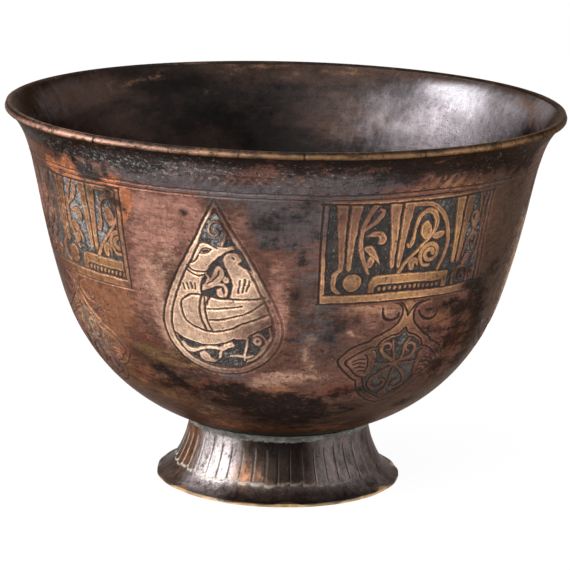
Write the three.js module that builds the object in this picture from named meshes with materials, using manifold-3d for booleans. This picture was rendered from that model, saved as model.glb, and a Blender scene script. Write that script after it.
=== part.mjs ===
// Footed bronze bowl with a flared lip, a soldered fluted foot and engraved fields filled with black compound.
// Millimetres, +Z up, origin on the axis at the plane that the foot stands on. The side shown first faces -Y.
import * as THREE from "three";
import { TessellateModifier } from "three/addons/modifiers/TessellateModifier.js";
import { mergeVertices } from "three/addons/utils/BufferGeometryUtils.js";
import Module from "manifold-3d";

const wasm = await Module();
wasm.setup();

// Bowl: the outer outline runs from the middle of the underside, through the shoulder, to the lip's lower corner.
const undersideHeight = 15;
const undersideReach = 35.8; // how far the underside stays nearly flat before it climbs
const shoulderRadius = 66.5;
const shoulderHeight = 59.6;
const shoulderSlope = THREE.MathUtils.degToRad(72.4);
const shoulderPullDown = 28.5;
const shoulderPullUp = 30.5;
const lipCornerRadius = 83;
const lipCornerHeight = 112.4;
const lipSlope = THREE.MathUtils.degToRad(41.4);
const lipPull = 11.5;
const wall = 1.8;
const lipEdgeHeight = 2.4; // thickened edge face of the lip
const lipOverhang = 1;
const lipRound = 0.6;
const lipTaperLength = 9; // over this length the wall thickens into the lip

// Foot: a hollow trumpet with a flat standing ring.
const footRadius = 37.2;
const footEdge = 1; // thickness of the flange's rim
const flangeWaistRadius = 31.6;
const flangeWaistHeight = 5;
const neckRadius = 27.8;
const footWall = 1.7;
const standingRingWidth = 2.6;
const seatClearance = 0.3;
const fluteCount = 48;
const fluteDepth = 0.35;
const fluteFoot = 5.2; // the flutes end this far above the standing plane
const fluteGap = 1.4; // bare band between the flutes and the solder

// Solder fillet that fills the corner between the foot's neck and the bowl's underside.
const solderLeg = 1.6;
const solderClearance = 0.3;

// Engraved fields. Each has its own middle, from which x runs round the bowl and y up its wall. Distances down
// the wall follow the outer outline from the lip's lower corner, and x is measured at the field's own radius.
const repeats = 4;
const fieldPitch = (2 * Math.PI) / repeats;
const panelAzimuth = THREE.MathUtils.degToRad(31.9);
const dropAzimuth = THREE.MathUtils.degToRad(-14.6);
const lastPanelDrift = THREE.MathUtils.degToRad(-3.4); // the last panel and its pendant are set out a little off
const gridWidth = 1; // squares of the grid on which the drop and the pendant are drawn
const recessDepth = 0.9;
const fillClearance = 0.3;
const fillSink = 0.25; // the compound lies this far below the metal

const panelRadius = 70;
const panelFoot = 42.9; // distance down the wall of the panel's lower edge
const panelHeight = 27.2;
const panelHalfWidth = 27.1;
const panelBow = 0.15; // the upper edge rises by this much in its middle third
const barStart = -14.6; // the bar stands on the lower edge over a slot with a row of beads
const barEnd = 11.4;
const barTop = 5.4;
const barEndWidth = 2;
const slotHeight = 2.3;
const stemPairs = [-22, -7.2, 13.4]; // middle of each pair of tapering stems
const stemGround = 1.2; // ground left over and under the stems
const stemTopWidth = 6.6;
const stemFootWidth = 3.2;
const stemSlant = 0.8;
const bossRadius = 2.9;
const bossPlace = [-19.4, 3.9];
const roundelRadius = 2.4;
const roundelPlace = [21.6, 18.6];
const archThickness = 1.3;

const dropRadius = 69;
const dropMiddle = 54.8;
const dropHalfWidth = 15.5;
const dropRise = 36.9;
const dropFall = 13.4;

const pendantRadius = 62;
const pendantMiddle = 66.9;
const petalAngles = [57, 123, 241, 299];
const petalStart = 2;
const petalLength = 6.6;
const petalWidth = 3.3;
const pendantDroop = 0.17; // the right half hangs lower, by this share of the distance from the middle

// Facets. Those of the fields may be longer down the wall than round it, where it bends more.
const facetLength = 14;
const facetStretch = 1.8;
const roundSegments = 48;
const undersideSteps = 6;
const sideSteps = 7;
const insideSteps = 8;
const footSteps = 4;

const bronze = { color: 0x6b3a28, roughness: 0.42, metalness: 1 };
const darkBronze = { color: 0x4a3026, roughness: 0.45, metalness: 1 };
const greySolder = { color: 0x6d726a, roughness: 0.7, metalness: 0.5 };
const blackCompound = { color: 0x23262b, roughness: 0.85, metalness: 0 };

// The outer outline as one path, from the axis to the lip's lower corner.
const shoulder = new THREE.Vector2(shoulderRadius, shoulderHeight);
const shoulderDirection = new THREE.Vector2(Math.cos(shoulderSlope), Math.sin(shoulderSlope));
const lipCorner = new THREE.Vector2(lipCornerRadius, lipCornerHeight);
const lipDirection = new THREE.Vector2(Math.cos(lipSlope), Math.sin(lipSlope));
const underside = new THREE.CubicBezierCurve(
  new THREE.Vector2(0, undersideHeight),
  new THREE.Vector2(undersideReach, undersideHeight),
  shoulder.clone().addScaledVector(shoulderDirection, -shoulderPullDown),
  shoulder,
);
const side = new THREE.CubicBezierCurve(
  shoulder,
  shoulder.clone().addScaledVector(shoulderDirection, shoulderPullUp),
  lipCorner.clone().addScaledVector(lipDirection, -lipPull),
  lipCorner,
);
const outline = new THREE.CurvePath();
outline.add(underside);
outline.add(side);
outline.arcLengthDivisions = 400;
const outlineLength = outline.getLength();

// Point on the bowl at a distance down from the lip's corner and a depth below the outer surface.
function wallPoint(down, depth) {
  const share = THREE.MathUtils.clamp(1 - down / outlineLength, 0, 1);
  const point = outline.getPointAt(share);
  const along = outline.getTangentAt(share);
  return new THREE.Vector2(point.x - along.y * depth, point.y + along.x * depth);
}

function radiusAt(down) {
  return wallPoint(down, 0).x;
}

// Distance down the outline at which the underside has the given radius.
function downAtRadius(radius) {
  let low = outlineLength / 2;
  let high = outlineLength;
  for (let step = 0; step < 40; step++) {
    const middle = (low + high) / 2;
    if (radiusAt(middle) > radius) low = middle;
    else high = middle;
  }
  return (low + high) / 2;
}

function solidFrom(geometry) {
  const bare = geometry.clone();
  bare.deleteAttribute("normal");
  bare.deleteAttribute("uv");
  const merged = mergeVertices(bare, 1e-4);
  return new wasm.Manifold(
    new wasm.Mesh({
      numProp: 3,
      vertProperties: merged.attributes.position.array,
      triVerts: new Uint32Array(merged.index.array),
    }),
  );
}

function geometryFrom(solid) {
  const mesh = solid.getMesh();
  const geometry = new THREE.BufferGeometry();
  geometry.setAttribute("position", new THREE.BufferAttribute(mesh.vertProperties, 3));
  geometry.setIndex(new THREE.BufferAttribute(mesh.triVerts, 1));
  return geometry;
}

// A closed ring or bowl turned about Z. The profile runs anticlockwise, with the radius first.
function turned(profile, segments) {
  const geometry = new THREE.LatheGeometry(profile, segments);
  geometry.rotateX(Math.PI / 2);
  return geometry;
}

// Flat shape in a field's own x and y, laid on the bowl round an azimuth and thickened between two depths.
function laidOnBowl(shape, field, azimuth, depthFrom, depthTo) {
  const flat = new THREE.ExtrudeGeometry(shape, { depth: 1, bevelEnabled: false, curveSegments: 6 });
  flat.deleteAttribute("normal");
  flat.deleteAttribute("uv");
  flat.scale(1, 1 / facetStretch, 1);
  const fine = mergeVertices(new TessellateModifier(facetLength, 12).modify(flat), 1e-4);
  fine.scale(1, facetStretch, 1);
  const place = fine.attributes.position;
  for (let i = 0; i < place.count; i++) {
    const depth = THREE.MathUtils.lerp(depthTo, depthFrom, place.getZ(i));
    const point = wallPoint(field.down - place.getY(i), depth);
    const angle = azimuth + place.getX(i) / field.radius;
    place.setXYZ(i, point.x * Math.sin(angle), -point.x * Math.cos(angle), point.y);
  }
  return fine;
}

// Outline moved outwards by a distance, or inwards if it is negative. Points run anticlockwise.
function grown(points, distance) {
  return points.map((point, i) => {
    const before = points[(i + points.length - 1) % points.length];
    const after = points[(i + 1) % points.length];
    const edgeIn = point.clone().sub(before).normalize();
    const edgeOut = after.clone().sub(point).normalize();
    const normal = new THREE.Vector2(edgeIn.y + edgeOut.y, -edgeIn.x - edgeOut.x).normalize();
    const spread = Math.max(0.6, normal.x * edgeIn.y - normal.y * edgeIn.x);
    return point.clone().addScaledVector(normal, distance / spread);
  });
}

function circlePoints(x, y, radius, count, from = 0, to = 2 * Math.PI) {
  const closed = to - from > 2 * Math.PI - 1e-6;
  return Array.from({ length: count }, (_, i) => {
    const angle = from + ((to - from) * i) / (closed ? count : count - 1);
    return new THREE.Vector2(x + radius * Math.cos(angle), y + radius * Math.sin(angle));
  });
}

function outlineOf(pairs, unit = 1) {
  return pairs.map(([x, y]) => new THREE.Vector2(x * unit, y * unit));
}

function drawn(pairs) {
  return outlineOf(pairs, gridWidth);
}

// Left half of an outline, from the top down, joined to its mirror image.
function mirrored(pairs) {
  const right = pairs.slice(1, -1).reverse().map(([x, y]) => [-x, y]);
  return drawn([...pairs, ...right]);
}

// Panel: the ground steps over the bar, under which the bead slot is a ground of its own.
function panelOutline() {
  return outlineOf([
    [-panelHalfWidth, 0],
    [barStart, 0],
    [barStart + 0.3, barTop - 1.3],
    [barStart + 1.6, barTop],
    [barEnd - 1.1, barTop - 0.3],
    [barEnd, barTop - 1.3],
    [barEnd + 0.2, 0],
    [panelHalfWidth, 0],
    [panelHalfWidth, panelHeight],
    [panelHalfWidth / 3, panelHeight + panelBow],
    [-panelHalfWidth / 3, panelHeight + panelBow],
    [-panelHalfWidth, panelHeight],
  ]);
}

function stemPair(middle, i) {
  const top = panelHeight - stemGround - i * 0.15;
  const foot = barTop + stemGround + 0.4 * i;
  return outlineOf([
    [middle - stemFootWidth / 2, foot],
    [middle + stemFootWidth / 2, foot + stemSlant],
    [middle + stemTopWidth / 2, top],
    [middle - stemTopWidth / 2, top - stemSlant],
  ]);
}

function archIsland() {
  const outer = circlePoints(0.3, 9.6, 9.2, 6, 0.06, Math.PI * 0.62);
  const inner = circlePoints(0.3, 9.6, 9.2 - archThickness, 5, 0.06, Math.PI * 0.62);
  return [...outer, ...inner.reverse()].map((p) => p.setY(7.9 + (p.y - 9.6) * 1.55));
}

function panelIslands() {
  return [
    ...stemPairs.map(stemPair),
    archIsland(),
    circlePoints(...bossPlace, bossRadius, 7),
    circlePoints(...roundelPlace, roundelRadius, 6),
  ];
}

function slotOutline() {
  return outlineOf([
    [barStart + barEndWidth, 0],
    [barEnd - barEndWidth, 0.1],
    [barEnd - barEndWidth - 0.1, slotHeight],
    [barStart + barEndWidth + 0.5, slotHeight - 0.1],
  ]);
}

// Drop: a bird whose body crosses the field from edge to edge, so that the ground is in an upper and a lower part.
function dropSide(share) {
  const edge = new THREE.CubicBezierCurve(
    new THREE.Vector2(dropHalfWidth, 0),
    new THREE.Vector2(dropHalfWidth, dropRise * 0.17),
    new THREE.Vector2(dropHalfWidth * 0.52, dropRise * 0.51),
    new THREE.Vector2(0, dropRise),
  );
  return edge.getPoint(share);
}

function dropUnderside() {
  return Array.from({ length: 8 }, (_, i) => {
    const angle = Math.PI * (1.06 + (0.88 * i) / 7);
    return new THREE.Vector2(dropHalfWidth * Math.cos(angle), dropFall * Math.sin(angle));
  });
}

function drawnCircle(x, y, radius) {
  return circlePoints(x * gridWidth, y * gridWidth, radius * gridWidth, 6);
}

function upperOutline() {
  const rightEdge = [0.64, 0.74, 0.85, 0.97].map(dropSide);
  const leftEdge = [0.97, 0.85].map(dropSide).map((p) => p.setX(-p.x));
  const headAndBreast = drawn([
    [-4, 27.1], [-2.1, 26.6], [-0.7, 25.4], [1.6, 25.8], [4.2, 25.6], [2.9, 24.7], [0.9, 23.3], [-0.9, 21.4],
    [-2.7, 19.2], [-3.9, 17], [-5.3, 13.7], [-5.3, 10.2],
  ]);
  const secondHead = drawn([
    [2.6, 9.8], [3.5, 12.2], [3.8, 15.8], [2.4, 19.6], [1.9, 21.4], [2.9, 22.8], [4.9, 23], [6.4, 21.4], [5.3, 20.2],
    [6.3, 18.9], [8.6, 17.4],
  ]);
  return [...leftEdge, ...headAndBreast, ...secondHead, ...rightEdge];
}

function upperIslands() {
  const leaf = drawn([
    [-0.9, 18], [-1.1, 16.3], [-2.8, 14.7], [-3.5, 12.4], [-1.5, 13.3], [0.7, 15.4], [1, 18.2],
  ]);
  return [leaf, drawnCircle(-0.3, 30.1, 1.5)];
}

function lowerOutline() {
  const bodyUnderside = drawn([
    [15.2, 2], [12, 0.3], [7.5, -1.8], [3.7, -3.3], [1.6, -4.2], [-1.7, -5.1], [-5.9, -5.5], [-9.6, -4.7],
    [-12.6, -3.6],
  ]);
  return [...dropUnderside(), ...bodyUnderside];
}

function lowerIslands() {
  const leg = drawn([
    [-11.4, -6.5], [-9.9, -8.5], [-1, -8.3], [2.4, -7.2], [3.2, -5.5], [0.6, -6.5], [-4.8, -7.1],
  ]);
  const leaf = drawn([[-6.8, -9.9], [-5.6, -11], [-2.4, -11.3], [-3.2, -9.8]]);
  const claw = drawn([[6.7, -4], [4.8, -9.4], [8, -8.7], [7.9, -4.3]]);
  return [leg, leaf, claw, drawnCircle(11.1, -3.2, 1.6)];
}

// Pendant: a pointed, four-lobed medallion, with a leaf in each side lobe and a quatrefoil in the middle.
function drooped(points) {
  return points.map((p) => p.setY(p.y - Math.max(0, p.x) * pendantDroop));
}

function pendantOutline() {
  return drooped(mirrored([
    [0, 12], [-3.7, 10], [-6.5, 8], [-7.7, 6.3], [-12.5, 4.5], [-16, 1.1], [-12.1, -3.9], [-9.4, -5.4], [-8.7, -8.4],
    [-6.7, -11.2], [-2.7, -13.6], [0, -15.2],
  ]));
}

function pendantIslands() {
  const lobeLeaf = [[-13.9, 0.9], [-11.8, -2.1], [-9.7, -3.2], [-8.9, 0.4], [-9.2, 3.7], [-11.8, 3.2]];
  const petals = petalAngles.map((degrees) => {
    const middle = petalStart + petalLength / 2;
    const reach = [-1, 0.3, 1, 0.6, -0.3];
    const width = [0, -0.9, -0.1, 0.9, 0.8];
    return reach.map((along, j) =>
      new THREE.Vector2(middle + (along * petalLength) / 2, (width[j] * petalWidth) / 2)
        .rotateAround(new THREE.Vector2(), THREE.MathUtils.degToRad(degrees)));
  });
  const otherLeaf = lobeLeaf.map(([x, y]) => [-x, y]).reverse();
  return [drawn(lobeLeaf), drawn(otherLeaf), ...petals].map(drooped);
}

// Ground of a field as a shape: its outline less the raised islands, drawn in by the clearance.
function groundShape(outlinePoints, islands, clearance) {
  const shape = new THREE.Shape(grown(outlinePoints, -clearance));
  for (const island of islands) shape.holes.push(new THREE.Path(grown(island, clearance)));
  return shape;
}

const panel = { azimuth: panelAzimuth, lastDrift: lastPanelDrift, radius: panelRadius, down: panelFoot };
const drop = { azimuth: dropAzimuth, lastDrift: 0, radius: dropRadius, down: dropMiddle };
const pendant = { azimuth: panelAzimuth, lastDrift: lastPanelDrift, radius: pendantRadius, down: pendantMiddle };
const fields = [
  { name: "panel_fill", ...panel, outline: panelOutline(), islands: panelIslands() },
  { name: "bead_slot_fill", ...panel, outline: slotOutline(), islands: [] },
  { name: "drop_upper_fill", ...drop, outline: upperOutline(), islands: upperIslands() },
  { name: "drop_lower_fill", ...drop, outline: lowerOutline(), islands: lowerIslands() },
  { name: "pendant_fill", ...pendant, outline: pendantOutline(), islands: pendantIslands() },
];

function eachField(visit) {
  for (const field of fields)
    for (let i = 0; i < repeats; i++) {
      const drift = i === repeats - 1 ? field.lastDrift : 0;
      visit(field, field.azimuth + i * fieldPitch + drift, i + 1);
    }
}

function wallAt(down) {
  const blend = THREE.MathUtils.clamp(1 - down / lipTaperLength, 0, 1);
  return wall + (lipEdgeHeight - wall) * blend * blend;
}

function bowlBlank() {
  const profile = [];
  for (let i = 0; i < undersideSteps; i++) profile.push(underside.getPointAt(i / undersideSteps));
  for (let i = 0; i <= sideSteps; i++) profile.push(side.getPointAt(i / sideSteps));
  const outerEdge = lipCornerRadius + lipOverhang;
  profile.push(new THREE.Vector2(outerEdge, lipCornerHeight + lipRound));
  profile.push(new THREE.Vector2(outerEdge, lipCornerHeight + lipEdgeHeight - lipRound));
  profile.push(new THREE.Vector2(outerEdge - lipRound, lipCornerHeight + lipEdgeHeight));
  for (let i = 0; i <= insideSteps; i++) {
    const down = outlineLength * (i / insideSteps);
    const point = wallPoint(down, wallAt(down));
    if (i === insideSteps) point.x = 0;
    profile.push(point);
  }
  return solidFrom(turned(profile, roundSegments));
}

function bowlShell() {
  let bowl = bowlBlank();
  eachField((field, azimuth) => {
    const ground = groundShape(field.outline, field.islands, 0);
    bowl = bowl.subtract(solidFrom(laidOnBowl(ground, field, azimuth, -1, recessDepth)));
  });
  return geometryFrom(bowl);
}

function fieldFill(field, azimuth) {
  const ground = groundShape(field.outline, field.islands, fillClearance);
  return laidOnBowl(ground, field, azimuth, fillSink, recessDepth - fillClearance);
}

// The foot's outside: concave from the flange's edge up to the neck.
const neckDown = downAtRadius(neckRadius);
const neckTop = wallPoint(neckDown, -seatClearance).y;
const flare = new THREE.CubicBezierCurve(
  new THREE.Vector2(footRadius, footEdge),
  new THREE.Vector2(flangeWaistRadius + 1.2, footEdge + 0.6),
  new THREE.Vector2(flangeWaistRadius - 2.6, flangeWaistHeight + 2.4),
  new THREE.Vector2(neckRadius, neckTop - fluteGap),
);

function footRing() {
  const profile = [new THREE.Vector2(footRadius - standingRingWidth, 0), new THREE.Vector2(footRadius, 0)];
  for (let i = 0; i <= footSteps; i++) profile.push(flare.getPointAt(i / footSteps));
  profile.push(new THREE.Vector2(neckRadius, neckTop));
  profile.push(new THREE.Vector2(neckRadius - footWall, wallPoint(downAtRadius(neckRadius - footWall), -seatClearance).y));
  for (let i = footSteps - 1; i > 1; i -= 2) {
    const share = i / footSteps;
    const point = flare.getPointAt(share);
    const along = flare.getTangentAt(share);
    profile.push(new THREE.Vector2(point.x - along.y * footWall, point.y + along.x * footWall));
  }
  profile.push(profile[0].clone());
  const geometry = turned(profile, fluteCount * 2);
  cutFlutes(geometry);
  return geometry;
}

// Every second meridian of the foot's outside is drawn in between the flange and the neck.
function cutFlutes(geometry) {
  const place = geometry.attributes.position;
  for (let i = 0; i < place.count; i++) {
    const x = place.getX(i);
    const y = place.getY(i);
    const z = place.getZ(i);
    const meridian = Math.round((Math.atan2(y, x) / Math.PI) * fluteCount);
    const radius = Math.hypot(x, y);
    const outside = radius > flareRadiusAt(z) - footWall / 2;
    if (meridian % 2 === 0 || z < fluteFoot - 1 || z > neckTop - fluteGap - 0.1 || !outside) continue;
    const scale = (radius - fluteDepth) / radius;
    place.setXYZ(i, x * scale, y * scale, z);
  }
}

function flareRadiusAt(z) {
  let low = 0;
  let high = 1;
  for (let step = 0; step < 30; step++) {
    const middle = (low + high) / 2;
    if (flare.getPoint(middle).y < z) low = middle;
    else high = middle;
  }
  return flare.getPoint(low).x;
}

function solderSeam() {
  const inner = neckRadius + solderClearance;
  const outer = inner + solderLeg;
  const ceiling = (radius) => wallPoint(downAtRadius(radius), -solderClearance).y;
  const floor = ceiling(inner) - solderLeg;
  const profile = [
    new THREE.Vector2(inner, floor),
    new THREE.Vector2(inner + solderLeg * 0.3, floor + solderLeg * 0.45),
    new THREE.Vector2(inner + solderLeg * 0.6, floor + solderLeg * 0.9),
    new THREE.Vector2(outer, ceiling(outer)),
    new THREE.Vector2(inner, ceiling(inner)),
    new THREE.Vector2(inner, floor),
  ];
  return turned(profile, roundSegments);
}

const bowl = new THREE.Group();

function add(name, geometry, look) {
  const mesh = new THREE.Mesh(geometry, new THREE.MeshStandardMaterial(look));
  mesh.name = name;
  bowl.add(mesh);
}

add("bowl_shell", bowlShell(), bronze);
add("foot", footRing(), darkBronze);
add("foot_solder", solderSeam(), greySolder);
eachField((field, azimuth, number) => {
  add(`${field.name}_${number}`, fieldFill(field, azimuth), blackCompound);
});

export default bowl;
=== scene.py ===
import math

import bpy
import numpy as np
from mathutils import Matrix, Vector


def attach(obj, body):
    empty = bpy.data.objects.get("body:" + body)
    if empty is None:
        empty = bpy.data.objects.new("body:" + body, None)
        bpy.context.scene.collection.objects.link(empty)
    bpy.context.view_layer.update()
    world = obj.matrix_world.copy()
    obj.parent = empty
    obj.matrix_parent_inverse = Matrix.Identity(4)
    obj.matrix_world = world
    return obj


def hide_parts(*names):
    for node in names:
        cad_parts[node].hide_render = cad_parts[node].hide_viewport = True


# Footed bronze bowl with a flared lip, a soldered fluted foot and engraved fields filled with black compound.
# Lengths are written in millimetres and become metres when a mesh is made. +Z is up and -Y faces the viewer.
# On the wall, "down" is the distance along the outer outline from the lip's lower corner, "azimuth" is in degrees
# from -Y towards +X, and "depth" is the distance under the outer surface.

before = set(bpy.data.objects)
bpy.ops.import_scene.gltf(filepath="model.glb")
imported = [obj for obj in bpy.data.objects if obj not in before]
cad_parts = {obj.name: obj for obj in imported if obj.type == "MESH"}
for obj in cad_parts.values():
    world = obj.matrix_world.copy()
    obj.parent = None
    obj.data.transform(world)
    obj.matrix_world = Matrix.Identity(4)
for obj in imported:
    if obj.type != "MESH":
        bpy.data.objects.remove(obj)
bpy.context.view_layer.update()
print("stage: frame loaded")

view = dict(place=(0.0, -0.8225, 0.2492), target=(0.0009, 0.0, 0.0588), lens=176.1, sensor=36.0, roll=1.41,
            near=0.01, far=50)


def makeCamera():
    data = bpy.data.cameras.new("camera")
    data.lens = view["lens"]
    data.sensor_width = view["sensor"]
    data.clip_start = view["near"]
    data.clip_end = view["far"]
    eye = bpy.data.objects.new("camera", data)
    place = Vector(view["place"])
    ahead = (Vector(view["target"]) - place).normalized()
    right = ahead.cross(Vector((0, 0, 1))).normalized()
    up = right.cross(ahead)
    turn = math.radians(view["roll"])
    right, up = right * math.cos(turn) + up * math.sin(turn), up * math.cos(turn) - right * math.sin(turn)
    axes = Matrix((right, up, -ahead)).transposed()
    eye.matrix_world = Matrix.Translation(place) @ axes.to_4x4()
    bpy.context.collection.objects.link(eye)
    bpy.context.scene.camera = eye


makeCamera()

bowl = dict(
    underside=15.0, undersideReach=35.8, shoulder=(66.5, 59.6), shoulderSlope=72.4, pullDown=28.5, pullUp=30.5,
    lipCorner=(83.0, 112.4), lipSlope=41.4, lipPull=11.5, wall=1.8, lipWall=2.4, lipTaper=9.0,
    points=600, columns=300, smear=(105.4, 108), stray=0.32, strayTop=115,
    # turns round the bowl, size, phase and the phase's change in a millimetre of height
    waves=[(2, 0.5, 0.7, 0), (3, 0.3, -1.1, 0), (7, 0.2, 0, 0.05)],
    # how far down the rows start, their step, and what is left before the axis at the end and at each last row
    rowStart=0.4, rowStep=1.2, insideStart=0.6, insideStep=1.6, rowEnd=6, lastRows=[5, 3.6, 2.2, 0.8],
    insideLastRows=[5, 2.5, 0.9],
)


def bezier(a, b, c, d, count):
    # (1-t)^3 a + 3 (1-t)^2 t b + 3 (1-t) t^2 c + t^3 d
    t = np.linspace(0, 1, count)[:, None]
    a, b, c, d = (np.array(p, float) for p in (a, b, c, d))
    return (1 - t) ** 3 * a + 3 * (1 - t) ** 2 * t * b + 3 * (1 - t) * t**2 * c + t**3 * d


def slope(degrees):
    return np.array([math.cos(math.radians(degrees)), math.sin(math.radians(degrees))])


def sideways(points, *places):
    # the unit normal on the left of a line of points
    along = np.gradient(points, *places, axis=0)
    return np.stack([-along[:, 1], along[:, 0]], 1) / np.hypot(*along.T)[:, None]


def outlineTable():
    # Two cubics, from the lip's corner to the axis: the distance down, the place and the outward normal at each point.
    shoulder, corner = np.array(bowl["shoulder"]), np.array(bowl["lipCorner"])
    climb, flare = slope(bowl["shoulderSlope"]), slope(bowl["lipSlope"])
    under = bezier((0, bowl["underside"]), (bowl["undersideReach"], bowl["underside"]),
                   shoulder - bowl["pullDown"] * climb, shoulder, bowl["points"])
    side = bezier(shoulder, shoulder + bowl["pullUp"] * climb, corner - bowl["lipPull"] * flare, corner, bowl["points"])
    points = np.vstack([under, side[1:]])[::-1]
    down = np.concatenate([[0], np.cumsum(np.hypot(*np.diff(points, axis=0).T))])
    return down, points, sideways(points, down)


outlineDown, outlinePoints, outlineNormals = outlineTable()
outlineLength = outlineDown[-1]


def outlineAt(down):
    place = np.stack([np.interp(down, outlineDown, outlinePoints[:, k]) for k in (0, 1)], -1)
    normal = np.stack([np.interp(down, outlineDown, outlineNormals[:, k]) for k in (0, 1)], -1)
    return place, normal / np.linalg.norm(normal, axis=-1, keepdims=True)


def aside(azimuth, middle=0):
    # degrees from the middle, from -180 to 180
    return (azimuth - middle + 180) % 360 - 180


def hump(azimuth, middle, reach, power=2):
    # exp(-(|degrees from the middle| / reach)^power)
    return np.exp(-(np.abs(aside(azimuth, middle) / reach) ** power))


def ripples(azimuth, waves):
    # the sum of size * sin(turns * angle + phase)
    angle = np.radians(azimuth)
    return sum(size * np.sin(turns * angle + phase) for turns, size, phase in waves)


def handWobble(azimuth, height):
    # The wall strays from true round by a few tenths of a millimetre, most at the rim and always inwards:
    # stray * (height / top)^2 * (waves of 2, 3 and 7 to the turn - 1).
    climb = np.clip(height / bowl["strayTop"], 0, 1) ** 2
    waves = ripples(azimuth, [(turns, size, phase + height * twist) for turns, size, phase, twist in bowl["waves"]])
    return climb * bowl["stray"] * (waves - 1)


def turnedPlaces(azimuth, radius, height):
    # x = r sin a, y = -r cos a, with the hand's wobble added to r
    reach = radius + handWobble(azimuth, height)
    angle = np.radians(azimuth)
    return np.stack([reach * np.sin(angle), -reach * np.cos(angle), height + 0 * angle], -1)


def wallPlaces(azimuth, down, depth):
    # the outline's place at down, less depth along its normal, turned by the azimuth
    place, normal = outlineAt(down)
    return turnedPlaces(azimuth, place[..., 0] - normal[..., 0] * depth, place[..., 1] - normal[..., 1] * depth)


def makeObject(name, places, faces, material, layers=None, sharp=None):
    # places is n by 3 in millimetres; faces is a list of integer arrays, each with its own number of corners
    mesh = bpy.data.meshes.new(name)
    counts = np.concatenate([np.full(len(f), f.shape[1]) for f in faces])
    corners = np.concatenate([f.ravel() for f in faces])
    mesh.vertices.add(len(places))
    mesh.vertices.foreach_set("co", (np.asarray(places) * 0.001).astype(np.float32).ravel())
    mesh.loops.add(len(corners))
    mesh.loops.foreach_set("vertex_index", corners.astype(np.int32))
    mesh.polygons.add(len(counts))
    mesh.polygons.foreach_set("loop_start", np.concatenate([[0], np.cumsum(counts)[:-1]]).astype(np.int32))
    mesh.polygons.foreach_set("loop_total", counts.astype(np.int32))
    mesh.update(calc_edges=True)
    mesh.validate()
    mesh.polygons.foreach_set("use_smooth", np.ones(len(mesh.polygons), bool))
    if sharp:
        mesh.set_sharp_from_angle(angle=math.radians(sharp))
    for layer, values in (layers or {}).items():
        attribute = mesh.attributes.new(layer, "FLOAT", "POINT")
        attribute.data.foreach_set("value", np.asarray(values, np.float32).ravel())
    mesh.materials.append(material)
    piece = bpy.data.objects.new(name, mesh)
    bpy.context.collection.objects.link(piece)
    return piece


def gridFaces(rows, columns, first=0, wrap=False):
    # quads of a grid whose vertices run along the columns first
    i = np.arange(rows - 1)[:, None]
    j = np.arange(columns if wrap else columns - 1)[None, :]
    k = (j + 1) % columns
    return (first + np.stack([i * columns + j, i * columns + k, (i + 1) * columns + k, (i + 1) * columns + j], -1)
            ).reshape(-1, 4)


def makeTube(name, azimuth, radius, height, material, layers=None, sharp=60):
    # a turned piece whose section, down the rows of radius and height, closes on itself
    places = turnedPlaces(np.broadcast_to(azimuth, radius.shape), radius, height).reshape(-1, 3)
    faces = gridFaces(len(radius) + 1, len(azimuth), wrap=True) % radius.size
    layers = {key: np.broadcast_to(values, radius.shape) for key, values in (layers or {}).items()}
    return makeObject(name, places, [faces], material, layers, sharp)


def closedTile(azimuth, down, depth, thickness, coarse):
    # A patch of the wall: its face at depth(row, column), four side walls and a back whose rows are coarser.
    # azimuth and down are the grid's lines; every coarse-th row meets a row of the back.
    rows, columns = depth.shape
    backRows = np.arange(0, rows, coarse)
    front = wallPlaces(azimuth[None, :], down[:, None], depth)
    back = wallPlaces(azimuth[None, :], down[backRows][:, None], np.full((len(backRows), columns), thickness))
    places = np.concatenate([front.reshape(-1, 3), back.reshape(-1, 3)])
    start = rows * columns
    frontFaces = gridFaces(rows, columns)
    backFaces = gridFaces(len(backRows), columns, start)[:, ::-1]
    j = np.arange(columns - 1)
    last = start + (len(backRows) - 1) * columns
    topWall = np.stack([j + 1, j, start + j, start + j + 1], -1)
    lowest = (rows - 1) * columns
    footWall = np.stack([lowest + j, lowest + j + 1, last + j + 1, last + j], -1)
    steps = np.arange(len(backRows) - 1)
    ladder = (steps[:, None] * coarse + np.arange(coarse + 1)[None, :]) * columns
    leftWall = np.concatenate([ladder, start + (steps[:, None] + [1, 0]) * columns], 1)
    rightWall = np.concatenate([ladder[:, ::-1], start + (steps[:, None] + [0, 1]) * columns], 1) + columns - 1
    return places, [frontFaces, backFaces, topWall, footWall, leftWall, rightWall]


def smooth(low, high, value):
    # 3 t^2 - 2 t^3 between low and high
    t = np.clip((value - low) / (high - low), 0, 1)
    return t * t * (3 - 2 * t)


def spline(points, closed=False, steps=7):
    # Catmull-Rom: 0.5 (2 b + (c - a) t + (2 a - 5 b + 4 c - d) t^2 + (3 b - a - 3 c + d) t^3) on each span
    p = np.array(points, float)
    p = np.vstack([p[-1:], p, p[:2]]) if closed else np.vstack([2 * p[0] - p[1], p, 2 * p[-1] - p[-2]])
    a, b, c, d = (p[k:len(p) - 3 + k, None, :] for k in range(4))
    t = (np.arange(steps) / steps)[None, :, None]
    curve = 0.5 * (2 * b + (c - a) * t + (2 * a - 5 * b + 4 * c - d) * t**2 + (3 * b - a - 3 * c + d) * t**3)
    curve = curve.reshape(-1, p.shape[1])
    return np.vstack([curve, curve[:1] if closed else p[-2:-1]])


def ring(x, y, radius, count=20):
    angle = np.radians(np.linspace(0, 360, count + 1))
    return np.stack([x + radius * np.cos(angle), y + radius * np.sin(angle)], 1)


def spiral(x, y, outer, inner, start, sweep, thick, thin, count):
    # the radius and the width shrink evenly with the angle
    t = np.linspace(0, 1, count + 1)
    angle = np.radians(start + sweep * t)
    radius = outer + (inner - outer) * t
    return np.stack([x + radius * np.cos(angle), y + radius * np.sin(angle), thick + (thin - thick) * t], 1)


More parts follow.
